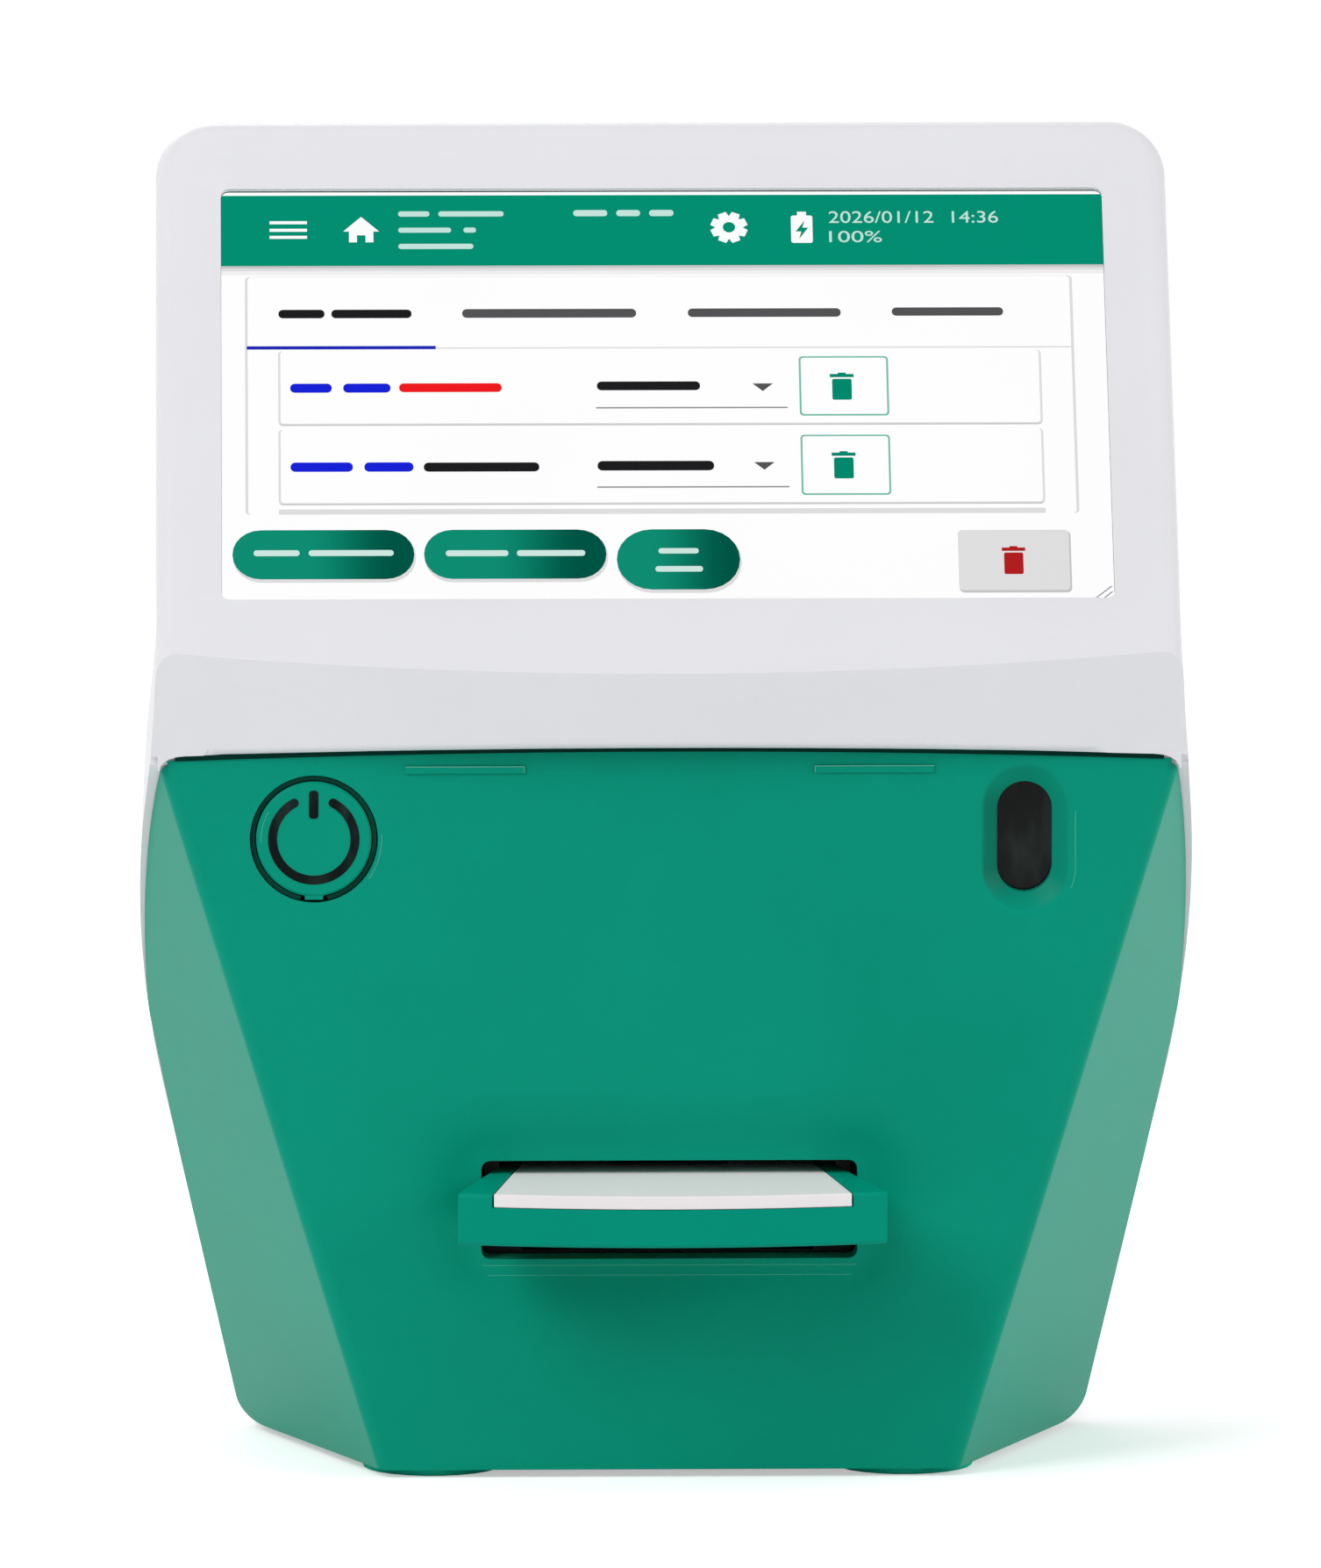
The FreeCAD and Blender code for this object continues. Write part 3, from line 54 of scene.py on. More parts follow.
def srgb(*levels):
    # colour levels 0-255 as seen in a picture, made linear
    return tuple(((v / 255 + 0.055) / 1.055) ** 2.4 if v > 10 else v / 255 / 12.92 for v in levels) + (1.0,)


def shaded(colour, share):
    return tuple(min(1.0, c * share) for c in colour[:3]) + (1.0,)


class Wire:
    # one output of a shader node, so that shader sums read as plain Python
    def __init__(self, recipe, socket):
        self.recipe = recipe
        self.socket = socket

    def __add__(self, other):
        return self.recipe.sum("ADD", self, other)

    def __radd__(self, other):
        return self.recipe.sum("ADD", other, self)

    def __sub__(self, other):
        return self.recipe.sum("SUBTRACT", self, other)

    def __rsub__(self, other):
        return self.recipe.sum("SUBTRACT", other, self)

    def __mul__(self, other):
        return self.recipe.sum("MULTIPLY", self, other)

    def __rmul__(self, other):
        return self.recipe.sum("MULTIPLY", other, self)

    def __truediv__(self, other):
        return self.recipe.sum("DIVIDE", self, other)

    def __abs__(self):
        return self.recipe.sum("ABSOLUTE", self)


socketNames = {"specular": "Specular IOR Level", "metal": "Metallic", "coat": "Coat Weight",
               "coatRoughness": "Coat Roughness", "glowStrength": "Emission Strength"}


class Recipe:
    # a material built around one Principled shader
    def __init__(self, name, colour, roughness, **fixed):
        self.material = bpy.data.materials.new(name)
        self.material.use_nodes = True
        self.tree = self.material.node_tree
        self.shader = next(n for n in self.tree.nodes if n.type == "BSDF_PRINCIPLED")
        self.set("Base Color", colour)
        self.set("Roughness", roughness)
        for key, value in fixed.items():
            self.set(socketNames[key], value)

    def join(self, value, socket):
        if isinstance(value, Wire):
            self.tree.links.new(value.socket, socket)
        else:
            socket.default_value = value

    def set(self, name, value):
        self.join(value, self.shader.inputs[name])
        return self

    def node(self, kind, settings=None, inputs=None, output=0):
        made = self.tree.nodes.new(kind)
        for key, value in (settings or {}).items():
            setattr(made, key, value)
        for key, value in (inputs or {}).items():
            self.join(value, made.inputs[key])
        return Wire(self, made.outputs[output])

    def sum(self, operation, *values):
        return self.node("ShaderNodeMath", {"operation": operation}, dict(enumerate(values)))

    def place(self):
        return self.node("ShaderNodeTexCoord", output="Object")

    def axis(self, index):
        return self.node("ShaderNodeSeparateXYZ", None, {0: self.place()}, output=index)

    def noise(self, scale, detail=2.0, roughness=0.5, vector=None):
        return self.node("ShaderNodeTexNoise", None, {"Vector": vector or self.place(), "Scale": scale,
                                                      "Detail": detail, "Roughness": roughness})

    def streaks(self, stretch, angle):
        # a turned and stretched place, for smoky streaks that run slantwise over the front
        return self.node("ShaderNodeMapping", None, {"Vector": self.place(), "Rotation": (0.0, angle, 0.0),
                                                     "Scale": (1.0, 1.0, stretch)})

    def between(self, value, low, high, toLow=0.0, toHigh=1.0):
        return self.node("ShaderNodeMapRange", {"interpolation_type": "SMOOTHSTEP"},
                         {0: value, 1: low, 2: high, 3: toLow, 4: toHigh})

    def mix(self, share, first, second):
        return self.node("ShaderNodeMix", {"data_type": "RGBA"}, {0: share, 6: first, 7: second}, output=2)

    def bump(self, height, depth):
        return self.set("Normal", self.node("ShaderNodeBump", None, {"Height": height, "Distance": depth}))


# scales are per metre, the depth is in metres, and the gloss values are swings of roughness
moulding = {"cloudScale": 22.0, "sparkScale": 2600.0, "sparkDepth": 0.00002, "cloudGloss": 0.08,
            "sparkGloss": 0.06}


def mould(name, colour, roughness, grain, shade, **fixed):
    # moulded plastic: fine spark texture, faint cloudiness and slightly uneven gloss
    recipe = Recipe(name, colour, roughness, **fixed)
    cloud = recipe.noise(moulding["cloudScale"], detail=3.0, roughness=0.6)
    recipe.set("Base Color", recipe.mix(recipe.between(cloud, 0.3, 0.7), shaded(colour, 1 - shade),
                                        shaded(colour, 1 + shade)))
    spark = recipe.noise(moulding["sparkScale"], detail=2.0, roughness=0.6)
    recipe.set("Roughness", roughness + (cloud - 0.5) * moulding["cloudGloss"]
               + (spark - 0.5) * moulding["sparkGloss"])
    recipe.bump(spark, grain * moulding["sparkDepth"])
    return recipe


# where painted shade darkens the green round the scan window: metres, and shares of the full effect
scanDishShade = {"x": 0.0619, "z": 0.1123, "halfStraight": 0.0053, "rim": (0.0070, 0.0078),
            "front": (-0.0690, -0.0660), "across": (-0.007, 0.007), "acrossShare": 0.45,
            "endsZ": 0.1115, "ends": (0.0055, 0.0115), "endsShare": 0.3, "shadeLevel": 0.62}


def greenPlastic(name, colour, roughness, grain, shade, **fixed):
    # the front cover's plastic, with painted shade in the dish round the scan window
    dish = scanDishShade
    recipe = mould(name, colour, roughness, grain, shade, **fixed)
    across = recipe.axis(0) - dish["x"]
    up = recipe.sum("MAXIMUM", abs(recipe.axis(2) - dish["z"]) - dish["halfStraight"], 0.0)
    away = recipe.sum("SQRT", across * across + up * up)
    front = recipe.between(recipe.axis(1), *dish["front"], 1.0, 0.0)
    # painted shade on the dish's walls, strongest on its left side and weaker towards its top and bottom
    dishShade = recipe.between(away, *dish["rim"], 1.0, 0.0) * front
    side = recipe.between(across, *dish["across"], 1.0, dish["acrossShare"])
    ends = recipe.between(abs(recipe.axis(2) - dish["endsZ"]), *dish["ends"], 1.0, dish["endsShare"])
    plain = Wire(recipe, recipe.shader.inputs["Base Color"].links[0].from_socket)
    return recipe.set("Base Color", recipe.mix(dishShade * (side * ends), plain, shaded(colour, dish["shadeLevel"])))


sheen = {"blend": 0.5, "starts": 0.35, "full": 0.75, "most": 0.15, "roughness": 0.25}


def sideSheen(recipe):
    # gloss that only shows where the surface turns away, as on spark-textured mouldings
    facing = recipe.node("ShaderNodeLayerWeight", None, {"Blend": sheen["blend"]}, output=1)
    recipe.set("Coat Weight", recipe.between(facing, sheen["starts"], sheen["full"], 0.0, sheen["most"]))
    return recipe.set("Coat Roughness", sheen["roughness"])


def circuitBoard():
    recipe = Recipe("circuitBoard", srgb(18, 92, 58), 0.35, coat=0.4, coatRoughness=0.2)
    cells = recipe.node("ShaderNodeTexVoronoi", {"feature": "DISTANCE_TO_EDGE"},
                        {"Vector": recipe.place(), "Scale": 240.0})
    track = recipe.between(cells, 0.02, 0.05)
    recipe.set("Base Color", recipe.mix(track, srgb(40, 130, 84), srgb(16, 84, 52)))
    return recipe.bump(track, depth=0.00003)


def sheetMetal(name, colour, roughness, along=0):
    # drawn or milled metal with fine lines along one axis
    recipe = Recipe(name, colour, roughness, metal=1.0)
    stretch = [1.0, 1.0, 1.0]
    stretch[along] = 0.03
    drawn = recipe.node("ShaderNodeMapping", None, {"Vector": recipe.place(), "Scale": stretch})
    lines = recipe.noise(scale=3200.0, detail=3.0, roughness=0.6, vector=drawn)
    recipe.set("Roughness", roughness + (lines - 0.5) * 0.25)
    return recipe.bump(lines, depth=0.000006)


def darkPane():
    # tinted window over a dark reader cavity
    recipe = Recipe("scanPane", srgb(24, 26, 28), 0.08, specular=0.12)
    cloud = recipe.noise(scale=150.0, detail=3.0, roughness=0.55, vector=recipe.streaks(0.35, 0.9))
    recipe.set("Base Color", recipe.mix(recipe.between(cloud, 0.42, 0.68), srgb(5, 8, 8), srgb(38, 47, 45)))
    return recipe.set("Roughness", 0.07 + cloud * 0.05)


def touchGlass():
    recipe = Recipe("touchGlass", srgb(9, 10, 11), 0.05, specular=0.5)
    smear = recipe.noise(scale=34.0, detail=3.0, roughness=0.6)
    recipe.set("Base Color", recipe.mix(recipe.between(smear, 0.3, 0.7), srgb(8, 9, 10), srgb(14, 15, 16)))
    return recipe.set("Roughness", 0.04 + smear * 0.06)


materials = {
    "white": mould("whitePlastic", srgb(233, 233, 237), roughness=0.42, grain=0.6, shade=0.01, specular=0.4),
    "green": sideSheen(greenPlastic("greenPlastic", srgb(2, 151, 125), roughness=0.40, grain=0.8, shade=0.03,
                                    specular=0.06)),
    "drawer": mould("drawerPlastic", srgb(0, 150, 126), roughness=0.36, grain=0.5, shade=0.02, specular=0.04),
    # the carrier colour is lifted and tinted a little pink: painted light that offsets the shade in the slot
    # and the green light bounced onto it
    "carrier": mould("carrierPlastic", srgb(250, 244, 246), roughness=0.45, grain=0.5, shade=0.01,
                     specular=0.06),
    # the foot colour is lighter than the rubber: painted light that makes up for the shade under the body
    "foot": mould("footRubber", srgb(22, 190, 162), roughness=0.7, grain=1.6, shade=0.04, specular=0.05),
    "black": mould("blackPlastic", srgb(22, 22, 24), roughness=0.45, grain=1.0, shade=0.10),
    "grey": mould("greyPlastic", srgb(92, 95, 99), roughness=0.5, grain=1.0, shade=0.04),
    "glass": touchGlass(),
    "pane": darkPane(),
    "sheet": sheetMetal("zincSheet", srgb(176, 178, 182), roughness=0.38),
    "screw": sheetMetal("screwSteel", srgb(150, 152, 156), roughness=0.34, along=2),
    "board": circuitBoard(),
    "socket": sheetMetal("tinShell", srgb(196, 198, 202), roughness=0.28, along=1),
    "sink": sheetMetal("sinkAluminium", srgb(190, 192, 197), roughness=0.40, along=1),
    "brass": sheetMetal("standoffBrass", srgb(196, 164, 92), roughness=0.30, along=2),
    "foam": mould("gasketFoam", srgb(16, 16, 16), roughness=0.9, grain=3.0, shade=0.2),
    "wrap": mould("batteryWrap", srgb(28, 44, 92), roughness=0.25, grain=0.5, shade=0.05, coat=0.6),
    "magnet": sheetMetal("magnetNickel", srgb(202, 202, 206), roughness=0.15, along=1),
}
slotFinish = {
    "white_plastic": "white", "cover_plastic": "green", "drawer_plastic": "drawer",
    "carrier_plastic": "carrier", "foot_rubber": "foot", "black_plastic": "black", "grey_plastic": "grey",
    "screen_glass": "glass", "scan_glass": "pane", "sheet_steel": "sheet", "screw_steel": "screw",
    "circuit_board": "board", "socket_metal": "socket", "sink_metal": "sink", "standoff_metal": "brass",
    "foam": "foam", "battery_wrap": "wrap", "magnet_metal": "magnet",
}
for part in frame["record"]["subparts"]:
    mesh = frame["nodes"][part["node"]].data
    mesh.materials.clear()
    mesh.materials.append(materials[slotFinish[part["material_slot"]]].material)
print("materials made and given to", len(frame["nodes"]), "CAD nodes")


def addObject(name, data):
    made = bpy.data.objects.new(name, data)
    bpy.context.scene.collection.objects.link(made)
    return made


def aim(made, place, target):
    made.location = place
    made.rotation_mode = "QUATERNION"
    made.rotation_quaternion = (Vector(target) - made.location).to_track_quat("-Z", "Y")


shot = {"lens": 412.3, "sensor": 36.0, "farthest": 20.0, "distance": 3.099, "eyeHeight": 0.4882,
        "eyeX": -0.0757, "aimX": -0.0016, "aimZ": 0.1219}


def makeCamera():
    data = bpy.data.cameras.new("camera")
    data.lens = shot["lens"]
    data.sensor_width = shot["sensor"]
    data.clip_end = shot["farthest"]
    camera = addObject("camera", data)
    aim(camera, (shot["eyeX"], frontY - shot["distance"], shot["eyeHeight"]),
        (shot["aimX"], frontY, shot["aimZ"]))
    bpy.context.scene.camera = camera


lamps = {
    "keyLamp": {"place": (-1.4, -1.2, 1.6), "size": 1.2, "watts": 26.0},
    "rightLamp": {"place": (1.9, -0.5, 0.7), "size": 1.0, "watts": 15.0},
    "topLamp": {"place": (0.0, -0.35, 2.2), "size": 1.0, "watts": 3.0},
    "backLamp": {"place": (-0.5, 1.7, 1.4), "size": 1.0, "watts": 12.0},
}
lampAim = (0.0, 0.0, 0.1)


def makeLamps():
    for name, lamp in lamps.items():
        data = bpy.data.lights.new(name, "AREA")
        data.size = lamp["size"]
        data.energy = lamp["watts"]
        aim(addObject(name, data), lamp["place"], lampAim)


studio = {"fill": 0.35, "seen": 1.0}


def makeWorld():
    # white to the camera and in reflections, and a weaker even fill for all other light
    world = bpy.data.worlds.new("studio")
    bpy.context.scene.world = world
    world.use_nodes = True
    tree = world.node_tree
    rays = tree.nodes.new("ShaderNodeLightPath")
    sees = tree.nodes.new("ShaderNodeMath")
    sees.operation = "MAXIMUM"
    tree.links.new(rays.outputs["Is Camera Ray"], sees.inputs[0])
    tree.links.new(rays.outputs["Is Glossy Ray"], sees.inputs[1])
    level = tree.nodes.new("ShaderNodeMix")
    level.data_type = "FLOAT"
    tree.links.new(sees.outputs[0], level.inputs[0])
    level.inputs[2].default_value = studio["fill"]
    level.inputs[3].default_value = studio["seen"]
    background = tree.nodes["Background"]
    background.inputs["Color"].default_value = (1, 1, 1, 1)
    tree.links.new(level.outputs[0], background.inputs["Strength"])


# the lift shows to the camera and in reflections only, so that the floor meets the white background
ground = {"radius": 1.4, "segments": 96, "lift": 0.42}


def makeFloor():
    work = bmesh.new()
    bmesh.ops.create_circle(work, cap_ends=True, segments=ground["segments"], radius=ground["radius"])
    mesh = bpy.data.meshes.new("floor")
    work.to_mesh(mesh)
    work.free()
    floor = addObject("floor", mesh)
    recipe = Recipe("floorPaper", srgb(250, 250, 250), 0.9, specular=0.0, glowStrength=1.0)
    fibre = recipe.noise(scale=900.0)
    recipe.set("Base Color", recipe.mix(fibre, srgb(248, 248, 248), srgb(252, 252, 252)))
    seen = recipe.sum("MAXIMUM", recipe.node("ShaderNodeLightPath", output="Is Camera Ray"),
                      recipe.node("ShaderNodeLightPath", output="Is Glossy Ray"))
    lift = (ground["lift"], ground["lift"], ground["lift"], 1.0)
    recipe.set("Emission Color", recipe.mix(seen, srgb(0, 0, 0), lift))
    # clear from below, so that the underside can be looked at
    under = recipe.node("ShaderNodeNewGeometry", output="Backfacing")
    paper = Wire(recipe, recipe.shader.outputs[0])
    clear = recipe.node("ShaderNodeBsdfTransparent")
    both = recipe.node("ShaderNodeMixShader", None, {0: under, 1: paper, 2: clear})
    end = next(n for n in recipe.tree.nodes if n.type == "OUTPUT_MATERIAL")
    recipe.join(both, end.inputs["Surface"])
    mesh.materials.append(recipe.material)


makeCamera()
makeLamps()
makeWorld()
makeFloor()
bpy.context.scene.view_settings.view_transform = "Standard"
print("camera, lamps and floor placed")


# moulded shells are copies of the CAD shapes with soft edges: bevel width in millimetres
shells = {
    "upperShell": {"node": "upper_housing", "body": "housing", "finish": "white", "edge": 0.35, "segments": 3},
    "rearShell": {"node": "rear_cover", "body": "housing", "finish": "white", "edge": 0.3, "segments": 2},
    "frontShell": {"node": "front_cover", "body": "housing", "finish": "green", "edge": 0.35, "segments": 3},
    "baseShell": {"node": "base_plate", "body": "housing", "finish": "white", "edge": 0.25, "segments": 2},
    "footPads": {"node": "feet", "body": "housing", "finish": "foot", "edge": 0.3, "segments": 3},
    "buttonCap": {"node": "power_button", "body": "button", "finish": "green", "edge": 0.12, "segments": 2},
    "drawerShell": {"node": "drawer_tray", "body": "drawer", "finish": "drawer", "edge": 0.2, "segments": 3},
    "carrierShell": {"node": "cassette_carrier", "body": "drawer", "finish": "carrier", "edge": 0.2,
                     "segments": 3},
}
# wider and softer creases: millimetres across, up from the floor and behind the front, turn in degrees
softCreases = {
    "frontShell": [
        {"x": (-42.5, 42.5), "z": (27.0, 67.0), "depth": (-0.1, 0.1), "angle": (3, 40), "width": 3.4,
         "steps": 6},
        {"x": (-36.5, 36.5), "z": (34.0, 60.0), "depth": (1.3, 1.7), "angle": (3, 40), "width": 1.5,
         "steps": 4},
        {"x": (53.0, 71.0), "z": (97.0, 127.0), "depth": (-0.1, 0.1), "angle": (3, 75), "width": 0.7,
         "steps": 5},
    ],
    "upperShell": [
        {"x": (-88.0, 88.0), "z": (140.0, 146.5), "depth": (-6.0, 0.5), "angle": (25, 60), "width": 0.9,
         "steps": 4},
        {"x": (-88.0, 88.0), "z": (126.3, 129.0), "depth": (-6.0, -0.4), "angle": (60, 120), "width": 1.3,
         "steps": 3},
    ],
}
# millimetres and degrees
cleaning = {"weld": 0.002, "flatTurn": 0.2, "hardTurn": 40, "shortest": 0.02}


def turn(edge):
    return math.degrees(edge.calc_face_angle(0.0)) if edge.is_manifold else 0.0


def within(value, span):
    return span[0] <= value <= span[1]


def isSoft(edge, crease):
    return within(turn(edge), crease["angle"]) and all(
        within(v.co.x / mm, crease["x"]) and within(v.co.z / mm, crease["z"])
        and within((v.co.y - frontY) / mm, crease["depth"]) for v in edge.verts)


def soften(work, edges, width, steps):
    points = {v for e in edges for v in e.verts}
    bmesh.ops.bevel(work, geom=list(edges) + list(points), offset=width * mm, offset_type="OFFSET",
                    affect="EDGES", segments=steps, profile=0.5, material=-1, clamp_overlap=True)


def finishPiece(work, name, material, body, nodes=(), sharp=32):
    mesh = bpy.data.meshes.new(name)
    for face in work.faces:
        face.smooth = True
    work.to_mesh(mesh)
    work.free()
    mesh.set_sharp_from_angle(angle=math.radians(sharp))
    mesh.materials.append(material)
    made = addObject(name, mesh)
    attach(made, body)
    if nodes:
        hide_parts(*nodes)
    return made


def makeShell(name, spec):
    work = bmesh.new()
    work.from_mesh(frame["nodes"][spec["node"]].data)
    bmesh.ops.remove_doubles(work, verts=work.verts, dist=cleaning["weld"] * mm)
    bmesh.ops.dissolve_limit(work, angle_limit=math.radians(cleaning["flatTurn"]), verts=work.verts,
                             edges=work.edges)
    for crease in softCreases.get(name, []):
        chosen = [e for e in work.edges if isSoft(e, crease)]
        print("  ", name, "soft crease edges:", len(chosen))
        soften(work, chosen, crease["width"], crease["steps"])
    hard = [e for e in work.edges
            if turn(e) > cleaning["hardTurn"] and e.calc_length() > cleaning["shortest"] * mm]
    soften(work, hard, spec["edge"], spec["segments"])
    made = finishPiece(work, name, materials[spec["finish"]].material, spec["body"],
                       (spec["node"],))
    weighted = made.modifiers.new("evenShading", "WEIGHTED_NORMAL")
    weighted.keep_sharp = True


for name, spec in shells.items():
    makeShell(name, spec)
print("shells softened:", ", ".join(shells))


def roundCorners(work, corners, radius):
    bmesh.ops.bevel(work, geom=corners, offset=radius, offset_type="OFFSET", affect="VERTICES", segments=6,
                    profile=0.5, material=-1, clamp_overlap=True)


# the touch screen's picture is drawn in millimetres from the window's top left corner
screen = {"foot": (0.0, -74.5, 145.0), "tilt": 39.0, "middle": 55.35, "width": 155.6, "height": 86.3,
          "glassDepth": 2.6, "layer": 0.03, "plateShare": 0.8, "rim": 0.05}
lean = math.radians(screen["tilt"])
screenUp = Vector((0.0, math.sin(lean), math.cos(lean)))
screenOut = Vector((0.0, -math.cos(lean), math.sin(lean)))


def screenPoint(across, down, out):
    start = Vector(screen["foot"]) + screenUp * (screen["middle"] + screen["height"] / 2 - down)
    return (start + Vector((across - screen["width"] / 2, 0, 0))
            + screenOut * (out - screen["glassDepth"])) * mm


def displayInk(name, colour, fade=0.02):
    # lit picture elements: black glass that glows, with a faint unevenness of the backlight
    recipe = Recipe(name, (0.0, 0.0, 0.0, 1.0), 0.5, specular=0.0, glowStrength=1.0)
    glow = recipe.noise(scale=18.0, detail=1.0, roughness=0.4)
    return recipe.set("Emission Color", recipe.mix(recipe.between(glow, 0.35, 0.65),
                                                   shaded(colour, 1 - fade), colour))


def pillInk(name, left, right):
    # green that deepens from left to right
    recipe = displayInk(name, srgb(14, 138, 112))
    across = recipe.axis(0) / mm + screen["width"] / 2
    return recipe.set("Emission Color", recipe.mix(recipe.between(across, left, right),
                                                   srgb(14, 140, 114), srgb(0, 84, 68)))


inks = {
    "paper": displayInk("inkPaper", srgb(254, 254, 254), fade=0.01),
    "shadeLight": displayInk("inkShadeLight", srgb(240, 240, 240)),
    "shade": displayInk("inkShade", srgb(222, 222, 223)),
    "shadeDark": displayInk("inkShadeDark", srgb(196, 197, 198)),
    "header": displayInk("inkHeader", srgb(3, 142, 114)),
    "headerWhite": displayInk("inkHeaderWhite", srgb(252, 253, 253)),
    "headerText": displayInk("inkHeaderText", srgb(196, 228, 220)),
    "black": displayInk("inkBlack", srgb(30, 30, 32)),
    "dark": displayInk("inkDark", srgb(84, 84, 86)),
    "blue": displayInk("inkBlue", srgb(24, 34, 214)),
    "underline": displayInk("inkUnderline", srgb(30, 40, 180)),
    "red": displayInk("inkRed", srgb(238, 26, 30)),
    "line": displayInk("inkLine", srgb(150, 150, 152)),
    "mint": displayInk("inkMint", srgb(120, 190, 170)),
    "green": displayInk("inkGreen", srgb(2, 136, 108)),
    "bin": displayInk("inkBin", srgb(178, 30, 32)),
    "button": displayInk("inkButton", srgb(224, 224, 225)),
    "pillText": displayInk("inkPillText", srgb(206, 232, 225)),
    "pillOne": pillInk("inkPillOne", left=14.0, right=30.0),
    "pillTwo": pillInk("inkPillTwo", left=46.0, right=63.0),
    "pillThree": pillInk("inkPillThree", left=74.0, right=89.0),
}
sheets = {}


def sheetFor(ink):
    if ink not in sheets:
        sheets[ink] = bmesh.new()
    return sheets[ink]


def thicken(work, faces, layer):
    # turns flat faces drawn at (across, down, 0) into a thin closed plate on its layer
    low = screen["layer"] * layer
    grown = bmesh.ops.extrude_face_region(work, geom=faces)
    top = [g for g in grown["geom"] if isinstance(g, bmesh.types.BMVert)]
    base = {v for f in faces for v in f.verts}
    for v in top:
        v.co = screenPoint(v.co.x, v.co.y, low + screen["layer"] * screen["plateShare"])
    for v in base:
        v.co = screenPoint(v.co.x, v.co.y, low)


def shape(points, ink, layer, radius=0.0):
    work = sheetFor(ink)
    corners = [work.verts.new((x, y, 0)) for x, y in points]
    face = work.faces.new(corners)
    if radius:
        roundCorners(work, corners, radius)
        # only the face that is being drawn still lies at height 0
        face = max((f for f in work.faces if all(v.co.z == 0 for v in f.verts)), key=lambda f: len(f.verts))
    thicken(work, [face], layer)


def plate(x0, y0, x1, y1, ink, layer, radius=0.0):
    shape([(x0, y0), (x1, y0), (x1, y1), (x0, y1)], ink, layer, radius)


def band(top, bottom, ink, layer, radius=0.0):
    plate(screen["rim"], top, screen["width"] - screen["rim"], bottom, ink, layer, radius)


# half a bar's height as a share of the letters' height, and how far its ends are rounded
wordBar = {"half": 0.25, "round": 0.9}


def words(spans, top, bottom, ink, layer):
    # plain bars in the rhythm of words
    middle = (top + bottom) / 2
    half = (bottom - top) * wordBar["half"]
    for x0, x1 in spans:
        plate(x0, middle - half, x1, middle + half, ink, layer, half * wordBar["round"])


def disc(x, y, radius, ink, layer):
    work = sheetFor(ink)
    made = bmesh.ops.create_circle(work, cap_ends=True, segments=24, radius=radius,
                                   matrix=Matrix.Translation((x, y, 0)))
    thicken(work, list({f for v in made["verts"] for f in v.link_faces}), layer)


def figures(text, x0, y0, x1, y1, ink, layer):
    # plain figures, stretched to fill a box
    curve = bpy.data.curves.new("figures", "FONT")
    curve.body = text
    holder = addObject("figures", curve)
    bpy.context.view_layer.update()
    flat = bpy.data.meshes.new_from_object(holder.evaluated_get(bpy.context.evaluated_depsgraph_get()))
    bpy.data.objects.remove(holder)
    bpy.data.curves.remove(curve)
    xs = [v.co.x for v in flat.vertices]
    ys = [v.co.y for v in flat.vertices]
    scale = ((x1 - x0) / (max(xs) - min(xs)), (y1 - y0) / (max(ys) - min(ys)))
    work = sheetFor(ink)
    before = set(work.faces)
    for v in flat.vertices:
        v.co = (x0 + (v.co.x - min(xs)) * scale[0], y1 - (v.co.y - min(ys)) * scale[1], 0)
    work.from_mesh(flat)
    bpy.data.meshes.remove(flat)
    thicken(work, [f for f in work.faces if f not in before], layer)


def wasteBin(x0, y0, x1, y1, ink, layer):
    # knob, lid and tub, in shares of the width and height
    w = x1 - x0
    h = y1 - y0
    plate(x0 + w * 0.33, y0, x1 - w * 0.33, y0 + h * 0.09, ink, layer)
    plate(x0, y0 + h * 0.05, x1, y0 + h * 0.17, ink, layer)
    plate(x0 + w * 0.09, y0 + h * 0.23, x1 - w * 0.09, y1, ink, layer, 0.35)


def cog(x, y, layer):
    for i in range(8):
        way = Matrix.Rotation(math.radians(45 * i + 22.5), 2).transposed()
        tooth = [Vector(p) @ way for p in ((-0.75, -3.25), (0.75, -3.25), (0.95, -2.0), (-0.95, -2.0))]
        shape([(x + c.x, y + c.y) for c in tooth], "headerWhite", layer)
    disc(x, y, 2.4, "headerWhite", layer + 1)
    disc(x, y, 1.1, "header", layer + 2)


def drawHeader():
    band(0.75, 15.7, "header", 1)
    band(15.7, 16.2, "shadeDark", 1)
    band(16.2, 16.8, "shade", 1)
    band(16.8, 17.6, "shadeLight", 1)
    # menu
    for top in (6.2, 7.8, 9.3):
        plate(8.6, top, 15.2, top + 0.62, "headerWhite", 2)
    # house
    shape([(21.6, 8.4), (24.75, 5.3), (27.9, 8.4)], "headerWhite", 2)
    plate(22.6, 8.4, 24.0, 10.7, "headerWhite", 2)
    plate(25.5, 8.4, 26.9, 10.7, "headerWhite", 2)
    plate(24.0, 8.4, 25.5, 9.2, "headerWhite", 2)
    words([(31.3, 36.8), (38.4, 49.9)], 3.6, 5.8, "headerText", 2)
    words([(31.3, 40.6), (42.8, 45.0)], 7.1, 9.2, "headerText", 2)
    words([(31.3, 44.5)], 10.5, 12.7, "headerText", 2)
    words([(62.2, 68.2), (69.8, 74.0), (75.6, 79.9)], 3.3, 5.9, "headerText", 2)
    cog(89.65, 7.7, 2)
    # battery
    plate(100.6, 5.2, 104.4, 11.0, "headerWhite", 2, 0.4)
    plate(101.7, 4.4, 103.3, 5.2, "headerWhite", 2)
    shape([(103.0, 6.3), (101.4, 8.6), (102.4, 8.6), (102.0, 10.2), (103.6, 7.8), (102.6, 7.8)], "header", 3)
    figures("2026/01/12  14:36", 107.3, 4.3, 137.2, 6.8, "headerText", 2)
    figures("100%", 107.3, 8.5, 116.6, 10.9, "headerText", 2)


